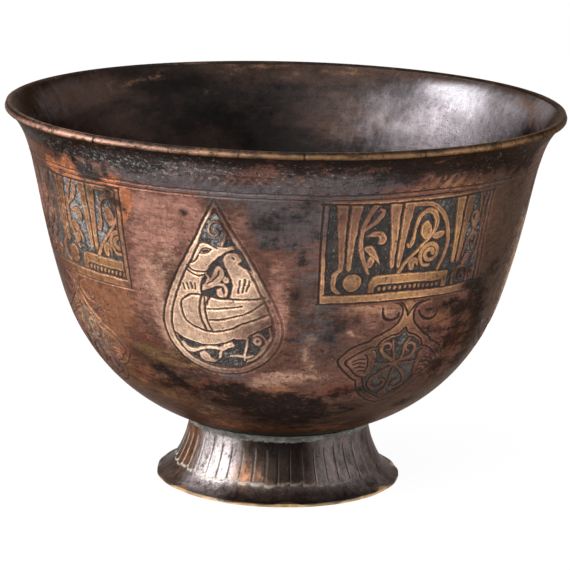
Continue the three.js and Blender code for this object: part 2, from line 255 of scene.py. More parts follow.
def grain(rng, shape, cell):
    # random numbers on a coarse grid of cells, blended between by 3 t^2 - 2 t^3, from -1 to 1
    coarse = rng.uniform(-1, 1, (int(shape[0] / cell) + 2, int(shape[1] / cell) + 2))
    axes = [np.arange(count) / cell for count in shape]
    whole = [axis.astype(int) for axis in axes]
    (v, u) = (smooth(0, 1, axis - low) for axis, low in zip(axes, whole))
    v, u = v[:, None], u[None, :]
    a, b, c, d = (coarse[np.ix_(whole[0] + i, whole[1] + j)] for i, j in ((0, 0), (0, 1), (1, 0), (1, 1)))
    return (a * (1 - u) + b * u) * (1 - v) + (c * (1 - u) + d * u) * v


def grains(rng, shape, sizes):
    # several grains, each with its size and cell, added up
    return sum(size * grain(rng, shape, cell) for size, cell in sizes)


# How an engraver's hand strays: size and wavelength of its slow strays, size and cell of the quick ones, and how near
# to a tile's ends it is still. Where nothing is drawn, a layer's distance is far.
hand = dict(slow=[(0.22, 9), (0.12, 4), (0.05, 1.7)], quick=[(0.11, 6), (0.07, 3)], still=4, far=9.0)


class Sketch:
    # A field's flat drawing on a grid. x runs round the bowl and y up the wall, from the field's own middle.
    def __init__(self, x, y, kind, count):
        self.gridX, self.gridY = x, y
        self.count, self.slack = count, 0.5
        self.x, self.y = np.meshgrid(x, y)
        rng = self.rng = np.random.default_rng(10 * len(kind) + count)
        still = np.clip(np.minimum(x - x[0], x[-1] - x) / hand["still"], 0, 1)
        for axis in ("x", "y"):
            stray = sum(size * np.sin(x[None, :] / length + a) * np.sin(y[:, None] / length + b)
                        for (size, length), a, b in zip(hand["slow"], *rng.uniform(0, 6, (2, 3))))
            stray = stray + grains(rng, self.x.shape, hand["quick"])
            setattr(self, axis, getattr(self, axis) + stray * still)

    def blank(self):
        return np.full(self.x.shape, hand["far"])

    def block(self, low, high, reach):
        # the part of the grid within reach of a box
        reach = reach + self.slack
        columns = np.searchsorted(self.gridX, (low[0] - reach, high[0] + reach))
        rows = np.searchsorted(-self.gridY, (-high[1] - reach, -low[1] + reach))
        return slice(*rows), slice(*columns)

    def stroke(self, layer, path, width=None, reach=1.6):
        # layer becomes the least of itself and the distance to the path less half its width there
        path = np.asarray(path, float)
        if width is not None:
            path = np.column_stack([path[:, :2], np.full(len(path), width)])
        for a, b in zip(path[:-1], path[1:]):
            part = self.block(np.minimum(a, b), np.maximum(a, b), reach + a[2])
            x, y = self.x[part] - a[0], self.y[part] - a[1]
            if x.size == 0:
                continue
            dx, dy, grow = b - a
            t = np.clip((x * dx + y * dy) / max(dx * dx + dy * dy, 1e-9), 0, 1)
            distance = np.hypot(x - t * dx, y - t * dy) - (a[2] + grow * t) / 2
            layer[part] = np.minimum(layer[part], distance)
        return layer

    def shape(self, layer, outline):
        # as stroke for a filled outline: less than nothing inside, by the even-odd rule
        outline = np.asarray(outline, float)[:, :2]
        outline = np.vstack([outline, outline[:1]])
        edge = self.stroke(self.blank(), outline, 0, reach=2.4)
        inside = np.zeros(self.x.shape, bool)
        part = self.block(outline.min(0), outline.max(0), 1)
        x, y = self.x[part], self.y[part]
        for (ax, ay), (bx, by) in zip(outline[:-1], outline[1:]):
            if ay != by:
                inside[part] ^= ((ay > y) != (by > y)) & (x < (bx - ax) * (y - ay) / (by - ay) + ax)
        return np.minimum(layer, np.where(inside, -edge, edge))

    def box(self, layer, low, high):
        return self.shape(layer, [low, (high[0], low[1]), high, (low[0], high[1])])


# the tool's marks: their depths, and over which distances from an edge they sink, darken and hold grime
cut = dict(
    groundDepth=0.62, groundEdge=(0, 0.32), groundDark=(-0.14, 0.16), lineDepth=0.26, lineEdge=(-0.2, 0.08),
    lineDark=(-0.17, 0.08), grime=(0.05, 0.36), grimeShare=0.5, burr=0.05, burrPlace=0.3, burrReach=0.16,
    worked=(-0.3, 0.3),
)


def carve(ground, metal, lines, worked):
    # All four are distances, less than nothing inside: the sunk ground, the metal that stands in it, the engraved
    # lines and the field's own outline. Gives the face's height, how far down a groove it is, the burr (raised a
    # little, and lightened in the material as painted highlight and edge wear), and the field.
    sunk = np.maximum(ground, -metal)
    nearest = np.minimum(sunk, lines)
    burr = np.exp(-(((nearest - cut["burrPlace"]) / cut["burrReach"]) ** 2))
    height = np.minimum(-cut["groundDepth"] * smooth(*cut["groundEdge"], -sunk),
                        -cut["lineDepth"] * smooth(*cut["lineEdge"], -lines))
    dark = np.maximum(smooth(*cut["groundDark"], -sunk), smooth(*cut["lineDark"], -lines))
    dark = np.maximum(dark, cut["grimeShare"] * (1 - smooth(*cut["grime"], nearest)))
    return height + cut["burr"] * burr, dark, burr, smooth(*cut["worked"], -worked)


# beads: their count, the first one's x, the pitch and the width
panel = dict(
    radius=70.0, foot=42.9, halfAngle=25.5, top=14.6, bottom=46.3, ground=(-27.1, 27.2, 0.0, 27.3), frameWidth=1.7,
    lean=4.9, start=23.7, lineWidth=0.5, fineWidth=0.4, pairs=(-21.9, -7.5, 13.2), beads=(13, -11.2, 1.58, 0.95),
    boss=(-19.5, 3.5), bossWidth=6.0, bossRing=3.0,
)


def taperPair(middle, top):
    # two upright strokes side by side, which narrow downwards
    left = [(-3.7, top), (-0.36, top), (-0.3, 17), (-0.34, 7.9), (-0.9, 6.9), (-1.7, 7.8), (-2.3, 17)]
    right = [(0.4, top), (3.7, top), (2.4, 17), (1.7, 7.9), (1.0, 6.8), (0.38, 7.7), (0.32, 17)]
    return [[(middle + x, y) for x, y in side] for side in (left, right)]


panelBar = [(-14.6, -0.6), (-14.5, 3.0), (-13.6, 4.8), (-12, 5.4), (-2, 5.3), (11.3, 5.2), (11.5, -0.6), (9.7, -0.6),
            (9.5, 2.3), (-11.7, 2.4), (-12.6, 1.6), (-12.8, -0.6)]
panelBuds = [
    [(-16.9, 17.2), (-14.3, 18.9), (-12.3, 18.7), (-11.2, 16.9), (-11.8, 14.9), (-13.4, 15.1), (-13.2, 16.8),
     (-14.7, 17.3)],
    [(-17.2, 14), (-15.2, 14.5), (-13.7, 12.6), (-12, 8.3), (-14.5, 11), (-15.9, 12)],
    [(-16, 9.3), (-15.2, 11.4), (-14, 10.3), (-14.2, 8.3), (-15.4, 7.7)],
    [(0.5, 21.3), (2.4, 18.9), (2.2, 16.4), (0.7, 15.4), (-0.9, 17.4), (-1, 19.8)],
    [(2.9, 16.2), (4.4, 17.3), (7, 17.2), (6.4, 15.6), (4.2, 15.1)],
    [(-2.8, 6.3), (-3.5, 8.7), (-2, 10.2), (-0.3, 9.3), (-0.2, 7.2), (-1.4, 8.3), (-1.5, 6.4)],
    [(16.2, 6.3), (18, 9.3), (20.6, 9), (19.3, 7.8), (18.6, 6.1)],
    [(24.2, 20.6), (26.4, 20.2), (26.6, 18.2), (24.8, 17.6)],
    [(22.6, 2.2), (24.6, 4.6), (26.6, 3.6), (25.4, 1.2)],
]
panelVines = [
    [(-14.5, 27.4, 1.5), (-16.5, 23.6, 1.3), (-18, 18.5, 1.25), (-17.9, 13.5, 1.3), (-16.6, 9.2, 1.2),
     (-15.2, 6.1, 0.8)],
    [(-17.4, 19.4, 0.9), (-15, 21.3, 1.2), (-13.3, 23.4, 1.35), (-12.6, 25.2, 1.1), (-13.6, 25.9, 0.8)],
    [(-3.6, 26.6, 1.6), (0.9, 26.2, 1.5), (4.6, 23.9, 1.5), (7.3, 19.8, 1.4), (8.6, 14.8, 1.3), (8.3, 10.2, 1.2),
     (7, 6, 1)],
    [(-6, 5.9, 1.2), (-3.6, 9.6, 1), (-0.3, 13.2, 0.9), (2.4, 16.3, 1), (3.8, 19.6, 1.4), (2.9, 23, 1.75),
     (0.3, 24.2, 1.6), (-2, 22.6, 1.3), (-2.8, 19.3, 1), (-2.9, 16.2, 1.1), (-3.7, 14, 1.3), (-4.5, 14.4, 0.8)],
    [(3.4, 7.4, 1), (1.4, 7.6, 1), (0.4, 9.4, 0.9)],
    [(20.3, 27.4, 1.2), (22, 23.6, 1.2), (21.6, 18.7, 1.1), (18.8, 15.2, 1), (16.6, 12.4, 0.9), (16, 9, 0.8)],
    [(19.2, 15.4, 0.9), (22, 15.4, 1.1), (23.3, 12.9, 1.3), (21.8, 10.9, 1.2), (20, 12.2, 0.9)],
    [(25.9, 27.4, 1.1), (24.6, 22.8, 1), (25.2, 18, 1), (26.1, 13.5, 1.1), (24.9, 9, 1.1), (22.8, 6.6, 1)],
    [(-22.8, 8, 0.9), (-24.8, 5.4, 1.5), (-24.8, 2, 1.4), (-22.6, -0.2, 1)],
    [(14, 0.4, 1), (13.6, 3.2, 1.2), (15.8, 5.2, 1.3), (19, 4.9, 1.2), (21.2, 3, 1), (21.6, 0, 1)],
]
# x, y, outer and inner radius, start and sweep in degrees, width at the outer and at the inner end, steps
panelSpirals = [(3.2, 11, 3.3, 0.9, 205, -560, 1.25, 1.3, 36), (19, 20.1, 2.3, 0.9, -100, 500, 1.1, 1.0, 36),
                (17.6, 2.6, 1.7, 0.6, 90, 420, 0.9, 0.9, 24)]


def drawPanel(sketch):
    left, right, low, high = panel["ground"]
    width, border = panel["lineWidth"], panel["frameWidth"]
    if sketch.count == 0:  # the first panel's right end stands nearer, and leans inwards at the top
        climb = 0.75 + 0.25 * np.clip(sketch.y / high, 0, 1.1)
        sketch.x = sketch.x + panel["lean"] * climb * smooth(15, 24, sketch.x)
        sketch.slack = panel["lean"] * 1.2
    ground = sketch.box(sketch.blank(), (left, low), (right, high))
    plain = sketch.x, sketch.slack
    if sketch.count == 3:  # the last panel's ornament starts further along and goes on from its left end
        sketch.x = left + (sketch.x - left - panel["start"]) % (right - left)
        sketch.slack = right - left
    metal = sketch.blank()
    pairs = [side for middle in panel["pairs"] for side in taperPair(middle, high + 1)]
    for outline in [*pairs, panelBar, *(spline(bud, closed=True, steps=4) for bud in panelBuds)]:
        metal = sketch.shape(metal, outline)
    for path in [*map(spline, panelVines), *(spiral(*turns) for turns in panelSpirals)]:
        sketch.stroke(metal, path)
    beads, first, pitch, size = panel["beads"]
    for x in first + pitch * np.arange(beads):
        sketch.stroke(metal, [(x, 0.95), (x + 0.1, 1.3)], size)
    sketch.stroke(metal, ring(*panel["boss"], 0.05), panel["bossWidth"], reach=4)
    lines = sketch.stroke(sketch.blank(), ring(*panel["boss"], panel["bossRing"], 28), width)
    sketch.x, sketch.slack = plain
    ends = left - border, right + border
    for x in ends:
        sketch.stroke(lines, [(x, high + 2.2), (x, -3)], width)
    for x in (left, right):
        sketch.stroke(lines, [(x, high), (x, 0)], panel["fineWidth"])
    sketch.stroke(lines, [(ends[0] - 0.6, -3.0), (ends[1] + 0.6, -3.0)], width)
    sketch.stroke(lines, [(left - 0.4, -0.1), (right + 0.4, -0.1)], panel["fineWidth"])
    sketch.stroke(lines, [(ends[0] - 0.5, high + 0.1), (ends[1] + 0.5, high + 0.1)], width)
    return carve(ground, metal, lines, sketch.box(sketch.blank(), (ends[0], -3), (ends[1], high + 1.4)))


# the pendant's right half hangs lower, by the droop's share of the distance from its middle
pendant = dict(radius=62.0, foot=66.9, halfAngle=18.5, top=46.3, bottom=85.9, droop=0.17, ledge=0.75,
               outerWidth=0.52, innerWidth=0.46, veinWidth=0.32)

pendantOuter = [(-1.7, 16.5), (-2.5, 14), (-4.5, 12), (-7.2, 10.2), (-9.2, 9.2), (-10.1, 8.1), (-13.2, 7.1),
                (-15.7, 5.5), (-17.7, 3.2), (-18.4, 1.8), (-17.2, -0.8), (-15.4, -3), (-13.4, -5), (-11.7, -6.2),
                (-11.1, -8.2), (-9.9, -10.8), (-7.7, -13.2), (-4.7, -15.5), (0, -17.6)]
pendantInner = [(0, 12), (-1.7, 10.2), (-3.7, 9.8), (-6, 8.5), (-7.2, 7), (-7.6, 6.2), (-9.7, 5.8), (-12.9, 4.2),
                (-16.2, 1.2), (-14.2, -1.5), (-11.9, -4), (-9.7, -5.2), (-9.1, -7), (-8.4, -9), (-6.5, -11.2),
                (-3.7, -13), (0, -15.2)]
pendantLobe = [(-15.5, 1.1), (-12.9, 3.5), (-9.6, 5), (-7.9, 4.8), (-7.2, 3), (-7.5, 0.2), (-7.8, -2.5), (-8.7, -4.3),
               (-9.6, -4.4), (-11.7, -3.4), (-13.7, -1.2)]
pendantTip = [(-2, -12.6), (0, -10.6), (2, -12.6), (0, -14.6)]
pendantBands = [
    [(0.3, -0.5, 1.1), (-2.2, 1.2, 1.2), (-4.5, 3, 1.2), (-6, 5, 1.1), (-5.7, 6.8, 1), (-4.1, 7.1, 0.9),
     (-3.1, 6.2, 0.8), (-3.3, 5, 0.7), (-4.5, 4.9, 0.5)],
    [(-0.6, -0.2, 0.9), (-1.4, 2.5, 0.8), (-2.2, 5, 0.7), (-2.8, 8, 0.6)],
    [(-0.5, -0.5, 1.1), (1.8, 1, 1.2), (4.3, 2.2, 1.2), (5.3, 4.5, 1.1), (4.8, 6.4, 1), (3.3, 7, 0.9), (2, 6.4, 0.8),
     (1.9, 5, 0.8), (3.3, 4.2, 0.6)],
    [(1.2, 0.6, 0.8), (1.6, 3, 0.8), (1.3, 6, 0.7), (2.4, 8.6, 0.6)],
    [(-0.2, -0.5, 1), (-1.7, -2, 1), (-4.7, -4, 1.2), (-6.7, -6, 1.3), (-6.5, -8.5, 1.2), (-4.5, -10, 1.1),
     (-2.2, -9.5, 1), (-1.7, -7.5, 0.9), (-3.5, -6.2, 0.7)],
    [(-0.2, -0.8, 1), (1.3, -2, 1), (4, -4, 1.1), (5.8, -6.5, 1.1), (5.5, -9, 1), (3.5, -10.2, 0.9), (1.8, -9.5, 0.8),
     (1.6, -7.8, 0.7), (2.8, -6.9, 0.6)],
    [(-7.6, 0.2, 0.6), (-3.7, -0.5, 0.8), (-0.2, -0.5, 0.9), (3.3, -0.2, 0.8), (7.6, 0.8, 0.6)],
    [(0, -1.5, 0.8), (-0.2, -5.5, 0.7), (0, -9.5, 0.7), (0, -13.5, 0.8)],
]
pendantLines = [
    [(-5.6, 21, 0.4), (-3.0, 19.6, 0.42), (-1.9, 18.2, 0.42), (-1.7, 16.5, 0.42)],
    [(5.8, 21, 0.4), (3.2, 19.8, 0.42), (2.0, 18.2, 0.42), (1.7, 16.5, 0.42)],
    [(0, 15.9, 0.4), (-0.6, 17.6, 0.42), (-1.6, 19.2, 0.42), (-3.6, 20.8, 0.42)],
    [(0, 15.9, 0.4), (0.7, 17.6, 0.42), (1.8, 19.2, 0.42), (3.8, 20.8, 0.42)],
    [(-7.7, 19.2, 0.35), (-7.5, 17.2, 0.6), (-6.5, 15.5, 0.75), (-4.8, 14.9, 0.8), (-3.3, 15.6, 0.6), (-2.9, 17, 0.4)],
    [(3.1, 17.6, 0.35), (4, 16.1, 0.6), (5.8, 15, 0.75), (7.8, 14.9, 0.8), (9.1, 16, 0.6), (9.5, 18, 0.35)],
]
pendantVeins = [
    [(-14.2, 1.2), (-12.4, 2.1), (-10.6, 2)],
    [(-13.8, 0.3), (-12.2, 0.7), (-10.3, 0.4)],
    [(-13, -1), (-11.8, -0.6), (-10.2, -1)],
    [(-11.9, -2.4), (-11, -2), (-10, -2.4)],
    [(-10.8, 3.6), (-10, 2.6), (-9.4, 0.8), (-9.4, -1.4), (-9.8, -3.2)],
]


def mirrored(points):
    return points + [(-x, *rest) for x, *rest in reversed(points)]


def drawPendant(sketch):
    sketch.y = sketch.y + pendant["droop"] * np.maximum(sketch.x, 0)
    sketch.slack = pendant["droop"] * sketch.x.max()
    ground = sketch.shape(sketch.blank(), mirrored(pendantInner)) + pendant["ledge"]
    metal, lines = sketch.shape(sketch.blank(), pendantTip), sketch.blank()
    for side in (-1, 1):
        flip = np.array([side, 1])
        metal = sketch.shape(metal, spline(np.array(pendantLobe) * [-side, 1], closed=True, steps=3))
        sketch.stroke(lines, spline(pendantOuter, steps=5) * flip, pendant["outerWidth"])
        sketch.stroke(lines, spline(pendantInner, steps=5) * flip, pendant["innerWidth"])
        for path in pendantVeins:
            sketch.stroke(lines, spline(path) * flip, pendant["veinWidth"])
    for layer, paths in ((metal, pendantBands), (lines, pendantLines)):
        for path in paths:
            sketch.stroke(layer, spline(path))
    return carve(ground, metal, lines, sketch.shape(sketch.blank(), mirrored([(-1.2, 20.6)] + pendantOuter)))


# inner and outer are half width, rise above and fall below the widest place
drop = dict(radius=69.0, foot=54.8, halfAngle=16.5, top=14.6, bottom=71.9, inner=(15.5, 36.9, 13.4),
            outer=(18.1, 40.0, 15.8), innerWidth=0.58, outerWidth=0.62)

dropPockets = [
    [(0, 36), (1.2, 34.6), (2.3, 32.6), (3.6, 30), (5, 27.2), (5.5, 26.3), (4.6, 26), (3.3, 25.8), (1.6, 25.6),
     (0, 25.8), (-1.2, 25.9), (-2.5, 26.7), (-4, 27.1), (-5.1, 26.8), (-4.6, 28.4), (-3.7, 30.4), (-2.8, 32.3),
     (-1.6, 34.4)],
    [(5.9, 25.6), (6.9, 24.4), (7.8, 22.5), (8.9, 20.2), (9.7, 18.4), (8.7, 18.9), (7.3, 19.5), (6.1, 20.2),
     (5.5, 20.8), (6.5, 21.4), (7, 22.2), (6.6, 23.2), (5.4, 23.9), (3.3, 23.8), (2.1, 22.9), (1.6, 21.5), (2, 19.6),
     (2.9, 17.7), (3.7, 15.8), (3.9, 13.8), (3.3, 11.2), (2.6, 9.7), (0, 9.5), (-2.5, 9.8), (-5.2, 10.1),
     (-5.4, 11.2), (-5.3, 13.3), (-4.6, 15.4), (-3.4, 17.1), (-2.7, 18.8), (-2.5, 19.6), (-1.3, 21), (0.4, 22.7),
     (2.1, 24), (3.9, 24.9)],
    [(-14.8, -2.7), (-12.9, -4.1), (-9.6, -5.2), (-5.4, -5.9), (-1.7, -5.5), (1.6, -4.5), (3.9, -3.2), (7.3, -2.9),
     (8.3, -1.7), (10, -0.6), (12.1, 0.6), (15.1, 2.6), (15.3, 0.4), (15.1, -1.7), (14.4, -4.2), (13, -6.6),
     (11.3, -8.7), (9.4, -10.4), (7, -11.8), (4.1, -12.8), (1.2, -13.2), (-1.7, -13.1), (-4.6, -12.5), (-7.1, -11.6),
     (-9.6, -10.1), (-11.7, -8.1), (-13.4, -5.8)],
]
dropShapes = [
    [(1, 15.5), (1.8, 16.7), (3, 16.2), (2.6, 14.8), (1.6, 14.5)],
    [(-0.7, 12.3), (0.6, 12.9), (0.9, 11.2), (1.4, 10.1), (0, 10.1), (-0.9, 10.8)],
    [(0.6, -4.8), (3.3, -4.2), (3.7, -5.4), (1.6, -6.5), (0, -7.5), (-0.7, -9.6), (-1.7, -10.8), (-1.3, -8.3),
     (0, -6.2)],
    [(-7.5, -9), (-5.9, -8.1), (-4.4, -9), (-3.8, -10.6), (-1.9, -11), (-2.9, -11.9), (-5.9, -11.5), (-7.5, -10.4)],
    [(4.3, -1.7), (6, -1.2), (7.9, -2.5), (5.8, -2.7), (3.9, -2.5)],
]
dropBands = [
    [(1.6, 26.2, 0.6), (2.6, 29, 0.8), (2.2, 32, 0.75), (0.2, 33.3, 0.7), (-1.6, 31.8, 0.65), (-1.5, 29.8, 0.6),
     (-0.2, 28.9, 0.6), (0.8, 29.9, 0.7), (0.3, 30.9, 0.8)],
    [(-3.8, 17.1, 0.5), (-2.9, 15.8, 0.67), (-3.4, 14.2, 0.67), (-4.4, 12.9, 0.5)],
    [(-4.6, 11.7, 0.42), (-2.5, 12.9, 0.75), (-0.4, 14, 0.83), (1.3, 13.8, 0.92), (2, 12.3, 0.92), (1.6, 10.6, 0.83)],
    [(-12.7, -6.2, 1.25), (-11.3, -7.7, 1.42), (-8.8, -8.1, 1.08), (-6.3, -7.1, 0.83), (-3.4, -6.5, 0.92),
     (-0.9, -6.7, 1), (1.6, -5.8, 1.25), (3.3, -5.2, 1.08)],
    [(7.8, -2.7, 0.58), (7.6, -5, 0.67), (7, -7.5, 0.75), (6.7, -10, 0.58)],
    [(2.3, -9, 0.42), (5, -8.8, 0.58), (7.5, -9, 0.67), (9.6, -8.3, 0.42)],
    [(9.6, -1.9, 0.5), (11.2, -1.2, 0.67), (12.9, -2.5, 0.75), (13.3, -4.6, 0.67), (12.1, -5.8, 0.5)],
    [(14.3, 0.8, 0.67), (14.6, -1.7, 0.83), (13.5, -4.6, 0.83), (11.9, -7.1, 0.75), (9.9, -9.1, 0.67),
     (7.5, -10.6, 0.58)],
]
dropLeaf = [(-4.6, 11.9), (-2.4, 13.2), (-0.2, 14.4), (1.2, 16), (1.7, 17.8), (0.9, 19.5), (-0.4, 19.4), (-1.2, 18),
            (-1.9, 16.3), (-3, 14.8), (-4.3, 13.2)]
# width, then the path
dropLines = [
    (0.56, [(-5.4, 10), (-7.9, 10.1), (-10.1, 9), (-11.5, 7.1), (-11.7, 4.6), (-10.9, 2.1), (-8.8, 0.2), (-5.9, -0.8),
            (-2.9, -1.2), (0, -0.9), (3.3, 0.2), (6.6, 1.9), (10, 3.5), (12.9, 5), (14.6, 5.9)]),
    (0.6, [(-5.4, 10), (-2.5, 9.8), (0, 9.5), (2.6, 9.7), (5.8, 9.8), (9.1, 10.1), (13, 10.8)]),
    (0.56, [(-5.2, 9.8), (-5.9, 7.5), (-6.1, 4.6), (-5.7, 2.1), (-4.4, -0.8)]),
    (0.5, [(-2.9, 9.4), (-4.1, 7.5), (-4.5, 5), (-4, 2.1), (-2.7, -0.6)]),
    (0.5, [(-3.7, 5.9), (0, 6.2), (3.3, 6.9), (6.3, 7.7)]),
    (0.5, [(-3.4, 2.5), (0.4, 2.9), (4.1, 4), (7.5, 5.4), (10, 7.1), (12.5, 9.1)]),
    (0.5, [(-8.7, 19.2), (-7.3, 17.9), (-5.4, 17.5), (-3.6, 17.7), (-2.3, 18.5)]),
    (0.46, [(-8.9, 17.9), (-7.3, 16.7), (-5.4, 16.2), (-3.8, 16.7)]),
    (0.4, [(-4.9, 23.3), (-4.1, 24.6), (-2.9, 25.2), (-1.5, 24.8)]),
    (0.4, [(-4.9, 23.3), (-3.8, 23.3), (-2.5, 23.7), (-1.5, 24.8)]),
    (0.8, [(-3.7, 24), (-2.6, 24.4)]),
    (0.42, [(-5.2, 22.6), (-5.9, 21.4), (-6.8, 20.4), (-7.9, 19.9)]),
    (0.42, [(-5.6, 25.2), (-4.9, 26.4), (-3.4, 26.8), (-1.6, 26.2), (0.2, 25.2)]),
    (0.38, [(0.3, 18.2), (-0.3, 16.6), (-1.6, 15.1), (-3.1, 13.9)]),
    (0.36, [(-10.2, 13.3), (-9.9, 11.5)]),
    (0.36, [(-9, 13.8), (-8.7, 11.7)]),
    (0.36, [(-7.9, 13.8), (-7.6, 11.8)]),
    (0.36, [(-6.7, 13.8), (-6.7, 11.7)]),
    (0.46, [(6, 15.8), (5.5, 13.3), (5.3, 11.7)]),
    (0.46, [(7.4, 16.3), (7, 14.2), (6.4, 12)]),
    (0.46, [(8.7, 15.8), (8.2, 14.2), (7.6, 12.6)]),
    (0.5, [(4.2, 22.5), (4.6, 22.1)]),
    (0.3, [(-4.4, 9.5), (-4.6, 7.1)]),
    (0.3, [(-3.4, 9.5), (-3.6, 7.1)]),
    (0.5, [(-14.9, -2.7), (-12.9, -4.1), (-9.6, -5.2), (-5.4, -5.9), (-1.7, -5.5), (1.6, -4.5), (3.9, -3.2)]),
]


def dropOutline(halfWidth, rise, fall):
    # a half ellipse below, and on each side a cubic from the widest point up to the tip
    angle = np.radians(np.linspace(180, 360, 33))
    under = np.stack([halfWidth * np.cos(angle), fall * np.sin(angle)], 1)
    side = bezier((halfWidth, 0), (halfWidth, rise * 0.17), (halfWidth * 0.52, rise * 0.51), (0, rise), 22)
    return np.vstack([under, side[1:], (side * [-1, 1])[::-1][1:]])


def drawDrop(sketch):
    ground = sketch.blank()
    for outline in dropPockets:
        ground = sketch.shape(ground, outline)
    metal = sketch.shape(sketch.blank(), spline(dropLeaf, closed=True, steps=4))
    for outline in dropShapes:
        metal = sketch.shape(metal, outline)
    for path in dropBands:
        sketch.stroke(metal, spline(path))
    sketch.stroke(metal, ring(10.8, -3.4, 0.9, 14), 0.9)
    outer = dropOutline(*drop["outer"])
    lines = sketch.stroke(sketch.blank(), outer, drop["outerWidth"])
    sketch.stroke(lines, dropOutline(*drop["inner"]), drop["innerWidth"])
    for width, path in dropLines:
        sketch.stroke(lines, spline(path), width)
    return carve(ground, metal, lines, sketch.shape(sketch.blank(), outer))


# the running wave under the lip is worn away but for a few spots; waves is their number to a quarter of the bowl, and
# pitch is how far apart two drawn strokes would be
frieze = dict(
    radius=77.0, foot=12.3, halfAngle=45.0, top=5.2, bottom=14.55, waves=26, pitch=4.65, height=5.3, depth=0.3,
    lines=(-0.3, -1.85), lineWidth=0.4, ragged=[(0.9, 9), (0.6, 4)], faintest=0.05,
    spots=[(-48, 9.5, 9, 5, 35), (-10, 8.2, 9, 4, 75), (35, 8.8, 6, 3, 95), (82, 9, 12, 6, 60), (110, 9, 9, 6, 70),
           (170, 9, 9, 6, 80), (255, 9, 10, 6, 80)],
)
waveStroke = [(-0.3, 0.1, 1.6), (0.9, 0.7, 2.0), (1.9, 1.9, 1.7), (2.7, 3.3, 1.3), (3.6, 4.3, 1.1), (4.6, 4.3, 1.0),
              (5.1, 3.5, 0.8), (4.6, 2.9, 0.5)]


def drawFrieze(sketch):
    left, right = sketch.gridX[[0, -1]]
    pitch = (right - left) / frieze["waves"]
    ground = sketch.box(sketch.blank(), (left - 3, 0.2), (right + 3, frieze["height"]))
    metal, lines = sketch.blank(), sketch.blank()
    for k in range(-1, frieze["waves"] + 1):
        sketch.stroke(metal, spline(np.array(waveStroke) * [pitch / frieze["pitch"], 1, 1] + [left + pitch * k, 0, 0]))
    for y in frieze["lines"]:
        sketch.stroke(lines, [(left - 2, y), (right + 2, y)], frieze["lineWidth"])
    azimuth = copies["frieze"][sketch.count] + np.degrees(sketch.gridX / frieze["radius"])[None, :]
    clear = ellipses(frieze["spots"], azimuth, (frieze["foot"] - sketch.gridY)[:, None])
    clear = np.clip(clear * (1 + grains(sketch.rng, clear.shape, frieze["ragged"])), frieze["faintest"], 1)
    height, groove, burr, worked = carve(ground, metal, lines, metal)
    along = lines < 0.5
    height = height * np.where(along, 1, frieze["depth"] * np.minimum(clear + 0.1, 1))
    groove = groove * np.where(along, np.maximum(clear, 0.85), clear * 0.8)
    return height, groove, burr * np.where(along, 0.8, clear), worked * clear


class Wire:
    # A socket with arithmetic: every expression adds its Math nodes.
    def __init__(self, net, socket):
        self.net, self.socket = net, socket

    def __add__(self, other):
        return self.net.math("ADD", self, other)

    def __radd__(self, other):
        return self.net.math("ADD", other, self)

    def __sub__(self, other):
        return self.net.math("SUBTRACT", self, other)

    def __rsub__(self, other):
        return self.net.math("SUBTRACT", other, self)

    def __mul__(self, other):
        return self.net.math("MULTIPLY", self, other)

    def __rmul__(self, other):
        return self.net.math("MULTIPLY", other, self)


def sway(*shares):
    # each grain taken about its middle and times its share, added up
    return sum((noise - 0.5) * share for noise, share in shares)


class Net:
    # A material with one Principled shader and short calls for its nodes.
    def __init__(self, name):
        self.material = bpy.data.materials.new(name)
        self.material.use_nodes = True
        self.tree = self.material.node_tree
        self.tree.nodes.clear()
        self.shader = self.tree.nodes.new("ShaderNodeBsdfPrincipled")
        self.output = self.tree.nodes.new("ShaderNodeOutputMaterial")
        self.tree.links.new(self.shader.outputs[0], self.output.inputs[0])
        self.places = self.node("ShaderNodeTexCoord", out="Object")

    def node(self, kind, settings=None, values=None, out=0):
        made = self.tree.nodes.new(kind)
        for key, value in (settings or {}).items():
            setattr(made, key, value)
        for key, value in (values or {}).items():
            self.plug(made.inputs[key], value)
        return Wire(self, made.outputs[out])

    def plug(self, socket, value):
        if isinstance(value, Wire):
            self.tree.links.new(value.socket, socket)
        elif isinstance(value, tuple) and socket.type == "RGBA":
            socket.default_value = (*value, 1)
        else:
            socket.default_value = value

    def math(self, operation, *values):
        return self.node("ShaderNodeMath", {"operation": operation}, dict(enumerate(values)))

    def fit(self, value, low, high):
        # 0 at low, 1 at high, smoothly between
        return self.node("ShaderNodeMapRange", {"interpolation_type": "SMOOTHSTEP"},
                         {"Value": value, "From Min": low, "From Max": high})

    def blend(self, factor, first, second):
        return self.node("ShaderNodeMix", {"data_type": "RGBA"}, {0: factor, 6: first, 7: second}, 2)

    def coat(self, under, over, value, low, high, most=1):
        # the second colour over the first as the value goes from low to high, with most as its greatest share
        return self.blend(self.fit(value, low, high) * most, under, over)

    def shade(self, colour, amount):
        # the colour times a number
        return self.node("ShaderNodeVectorMath", {"operation": "SCALE"}, {"Vector": colour, "Scale": amount})

    def layer(self, name):
        return self.node("ShaderNodeAttribute", {"attribute_name": name}, out="Fac")

    def noise(self, size, detail, roughness, stretch=(1, 1, 1), shift=0.0):
        # size is the grain in millimetres, stretch makes it longer along x, y and z
        where = self.node("ShaderNodeMapping", None,
                          {"Vector": self.places, "Scale": tuple(1000 / size / s for s in stretch),
                           "Location": (shift, shift * 0.7, shift * 1.3)})
        return self.node("ShaderNodeTexNoise", None,
                         {"Vector": where, "Scale": 1.0, "Detail": detail, "Roughness": roughness})

    def finish(self, colour, roughness, metallic, height=None, depth=0.0, specular=0.5, tint=(1, 1, 1)):
        # depth is how many metres the bump's height of 1 stands for
        values = {"Base Color": colour, "Roughness": roughness, "Metallic": metallic, "Specular IOR Level": specular,
                  "Specular Tint": tint}
        if height is not None:
            values["Normal"] = self.node("ShaderNodeBump", None, {"Height": height, "Distance": depth, "Strength": 1.0})
        for name, value in values.items():
            self.plug(self.shader.inputs[name], value)
        return self.material


